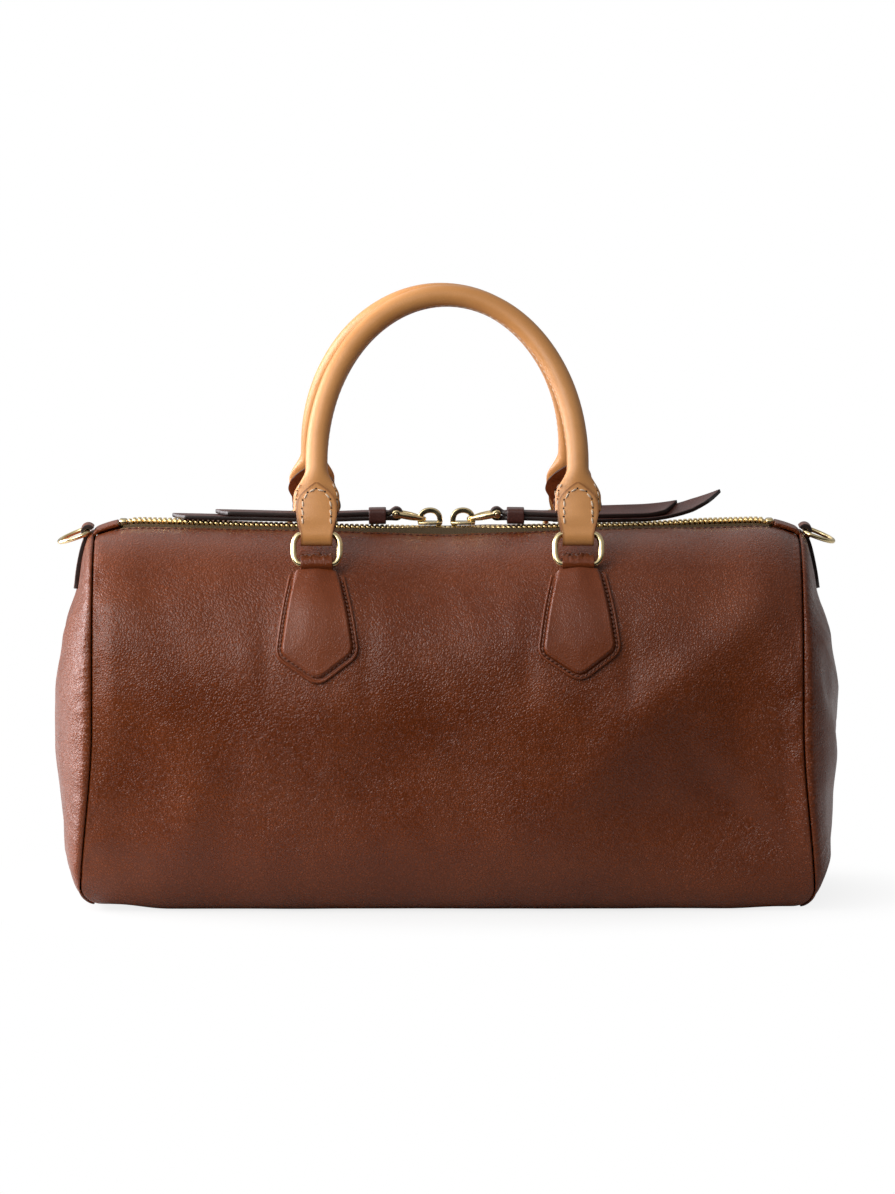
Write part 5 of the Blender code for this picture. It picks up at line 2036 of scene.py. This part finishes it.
def make_end_ring(word, side):
    straight = END_RING_SPAN / 2 - END_RING_CORNER
    points = [(0.0, straight * share) for share in (-1.0, -0.5, 0.0, 0.5, 1.0)]
    for step in range(49):
        turn = math.pi / 2 - math.pi * step / 48
        bow = (END_RING_REACH - END_RING_SHOULDER) * max(0.0, math.cos(turn)) ** 0.8
        points.append((END_RING_SHOULDER + bow, END_RING_SPAN / 2 * math.sin(turn)))
    line = []
    for reach, across in points:
        askew = across * math.sin(END_RING_SKEW)
        out = reach * math.cos(END_RING_TILT) + askew * math.sin(END_RING_TILT)
        down = reach * math.sin(END_RING_TILT) - askew * math.cos(END_RING_TILT)
        y = across * math.cos(END_RING_SKEW)
        line.append(Vector((side * (END_RING_OUT + out), y, END_RING_HEIGHT - down)))
    ring = bend_wire(f"{word}_gold_end_ring", line, END_RING_WIRE, closed=True)
    settle(ring, f"end_ring_{word}", pale_gold, f"{word}_end_ring")


def make_holder(word, side):
    bend = (END_RING_HOLE + HOLDER_LEATHER) / 2
    total = HOLDER_FOLD_STEPS + TAIL_STEPS
    seam_top = top_at(SEAM_HALF)

    def place(across, along):
        row = round(along * total)
        wide = 2 * across - 1
        if row <= HOLDER_FOLD_STEPS:
            turn = math.radians(blend(150.0, 5.0, row / HOLDER_FOLD_STEPS))
            x = END_RING_OUT + bend * math.cos(turn)
            return Vector((side * x, wide * HOLDER_HALF, END_RING_HEIGHT + bend * math.sin(turn)))
        share = (row - HOLDER_FOLD_STEPS) / TAIL_STEPS
        height = blend(END_RING_HEIGHT - TAIL_START, END_RING_HEIGHT - TAIL_END, share)
        past = max(0.0, share - TAIL_ROUND_FROM) / 0.27
        ring_share = min(1.0, (height - END_CENTRE) / (seam_top - END_CENTRE))
        under = min(abs(end_point(side, turn, ring_share).x) for turn in (0.0, 0.04 * wide))
        half = HOLDER_HALF * math.sqrt(max(0.0, 1 - past**2))
        return Vector((side * (under + 0.0001 + HOLDER_LEATHER / 2), wide * half, height))

    holder = lay_grid(f"{word}_ring_holder", 12, total, place, turned=side < 0)
    thicken(holder, HOLDER_LEATHER, offset=0.0, rounding=0.0005, finishes=(brown_leather, edge_dark))
    settle(holder, "bag", None, f"{word}_end_ring_holder")


for word, side in SIDES:
    make_end_ring(word, side)
    make_holder(word, side)

# %% [markdown]
# ## The lining
# The lining hangs just inside the leather and gives where it gives. Its two sides are cut like
# the panels, but stop at the zip, and its ends are discs that meet them. It is sewn up into one
# loose bag, so it is one piece.

# %% Lining
LINING_INSET = 0.0038
LINING_HALF = 0.1620
LINING_SLOT = 0.0193
LINING_CLOTH = 0.0008
LINING_MESH = 120
DOME_INSET = 0.0042


def lining_point(x, distance, face):
    """A point of the lining's front or rear side, which stops at the zip's slot."""
    slot = LINING_SLOT * (1 - ease((abs(x) - 0.150) / 0.009))
    start = 0.0 if slot < 0.0005 else distance_at_reach(x, slot)
    spot = skin(x, max(distance, start), face, -LINING_INSET)
    return Vector((spot.x, face * max(face * spot.y, 0.0), max(spot.z, LINING_INSET)))


def lining_end_point(side, turn, ring):
    """A point of the lining's domed end, whose border meets the two sides."""
    face = -1 if turn < 0 else 1
    border = lining_point(side * LINING_HALF, abs(turn) / math.pi * girth(LINING_HALF), face)
    domed = end_point(side, turn, ring * 0.97)
    height = max(DOME_INSET, blend(END_CENTRE, domed.z, 0.95))
    domed = Vector((domed.x - side * DOME_INSET, domed.y * 0.95, height))
    return domed.lerp(border, ease((ring - 0.80) / 0.20))


def make_lining_side(face):
    def place(across, along):
        x = LINING_HALF * (2 * across - 1)
        return lining_point(x, along * girth(x), face)

    return lay_grid("lining_side", LINING_MESH, LINING_MESH, place, turned=face < 0)


def make_lining_end(side):
    radii = [1.0 - 0.05 * step for step in range(20)]

    def place(turn, ring):
        return lining_end_point(side, turn, ring)

    return lay_disc("lining_end", 2 * LINING_MESH, radii, place, turned=side < 0)


parts = [make_lining_side(face) for word, face in FACES] + [make_lining_end(side) for word, side in SIDES]
cloth = join_pieces("lining_bag", *parts)
close_seams(cloth, 0.0002)
thicken(cloth, LINING_CLOTH)
settle(cloth, "bag", lining_cloth, "lining")

# %% [markdown]
# ## What is inside
# The base board and the cords in the handles don't show, so their solids stay, and get the
# finishes of fibre and cotton.

# %% Inner pieces
inner_finishes = {
    "base_board": board_fibre,
    "front_handle_core": cotton_cord,
    "rear_handle_core": cotton_cord,
}
for node, finish in inner_finishes.items():
    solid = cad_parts[node]
    solid.data.materials.clear()
    solid.data.materials.append(finish)
    print(node, "is now", finish.name)
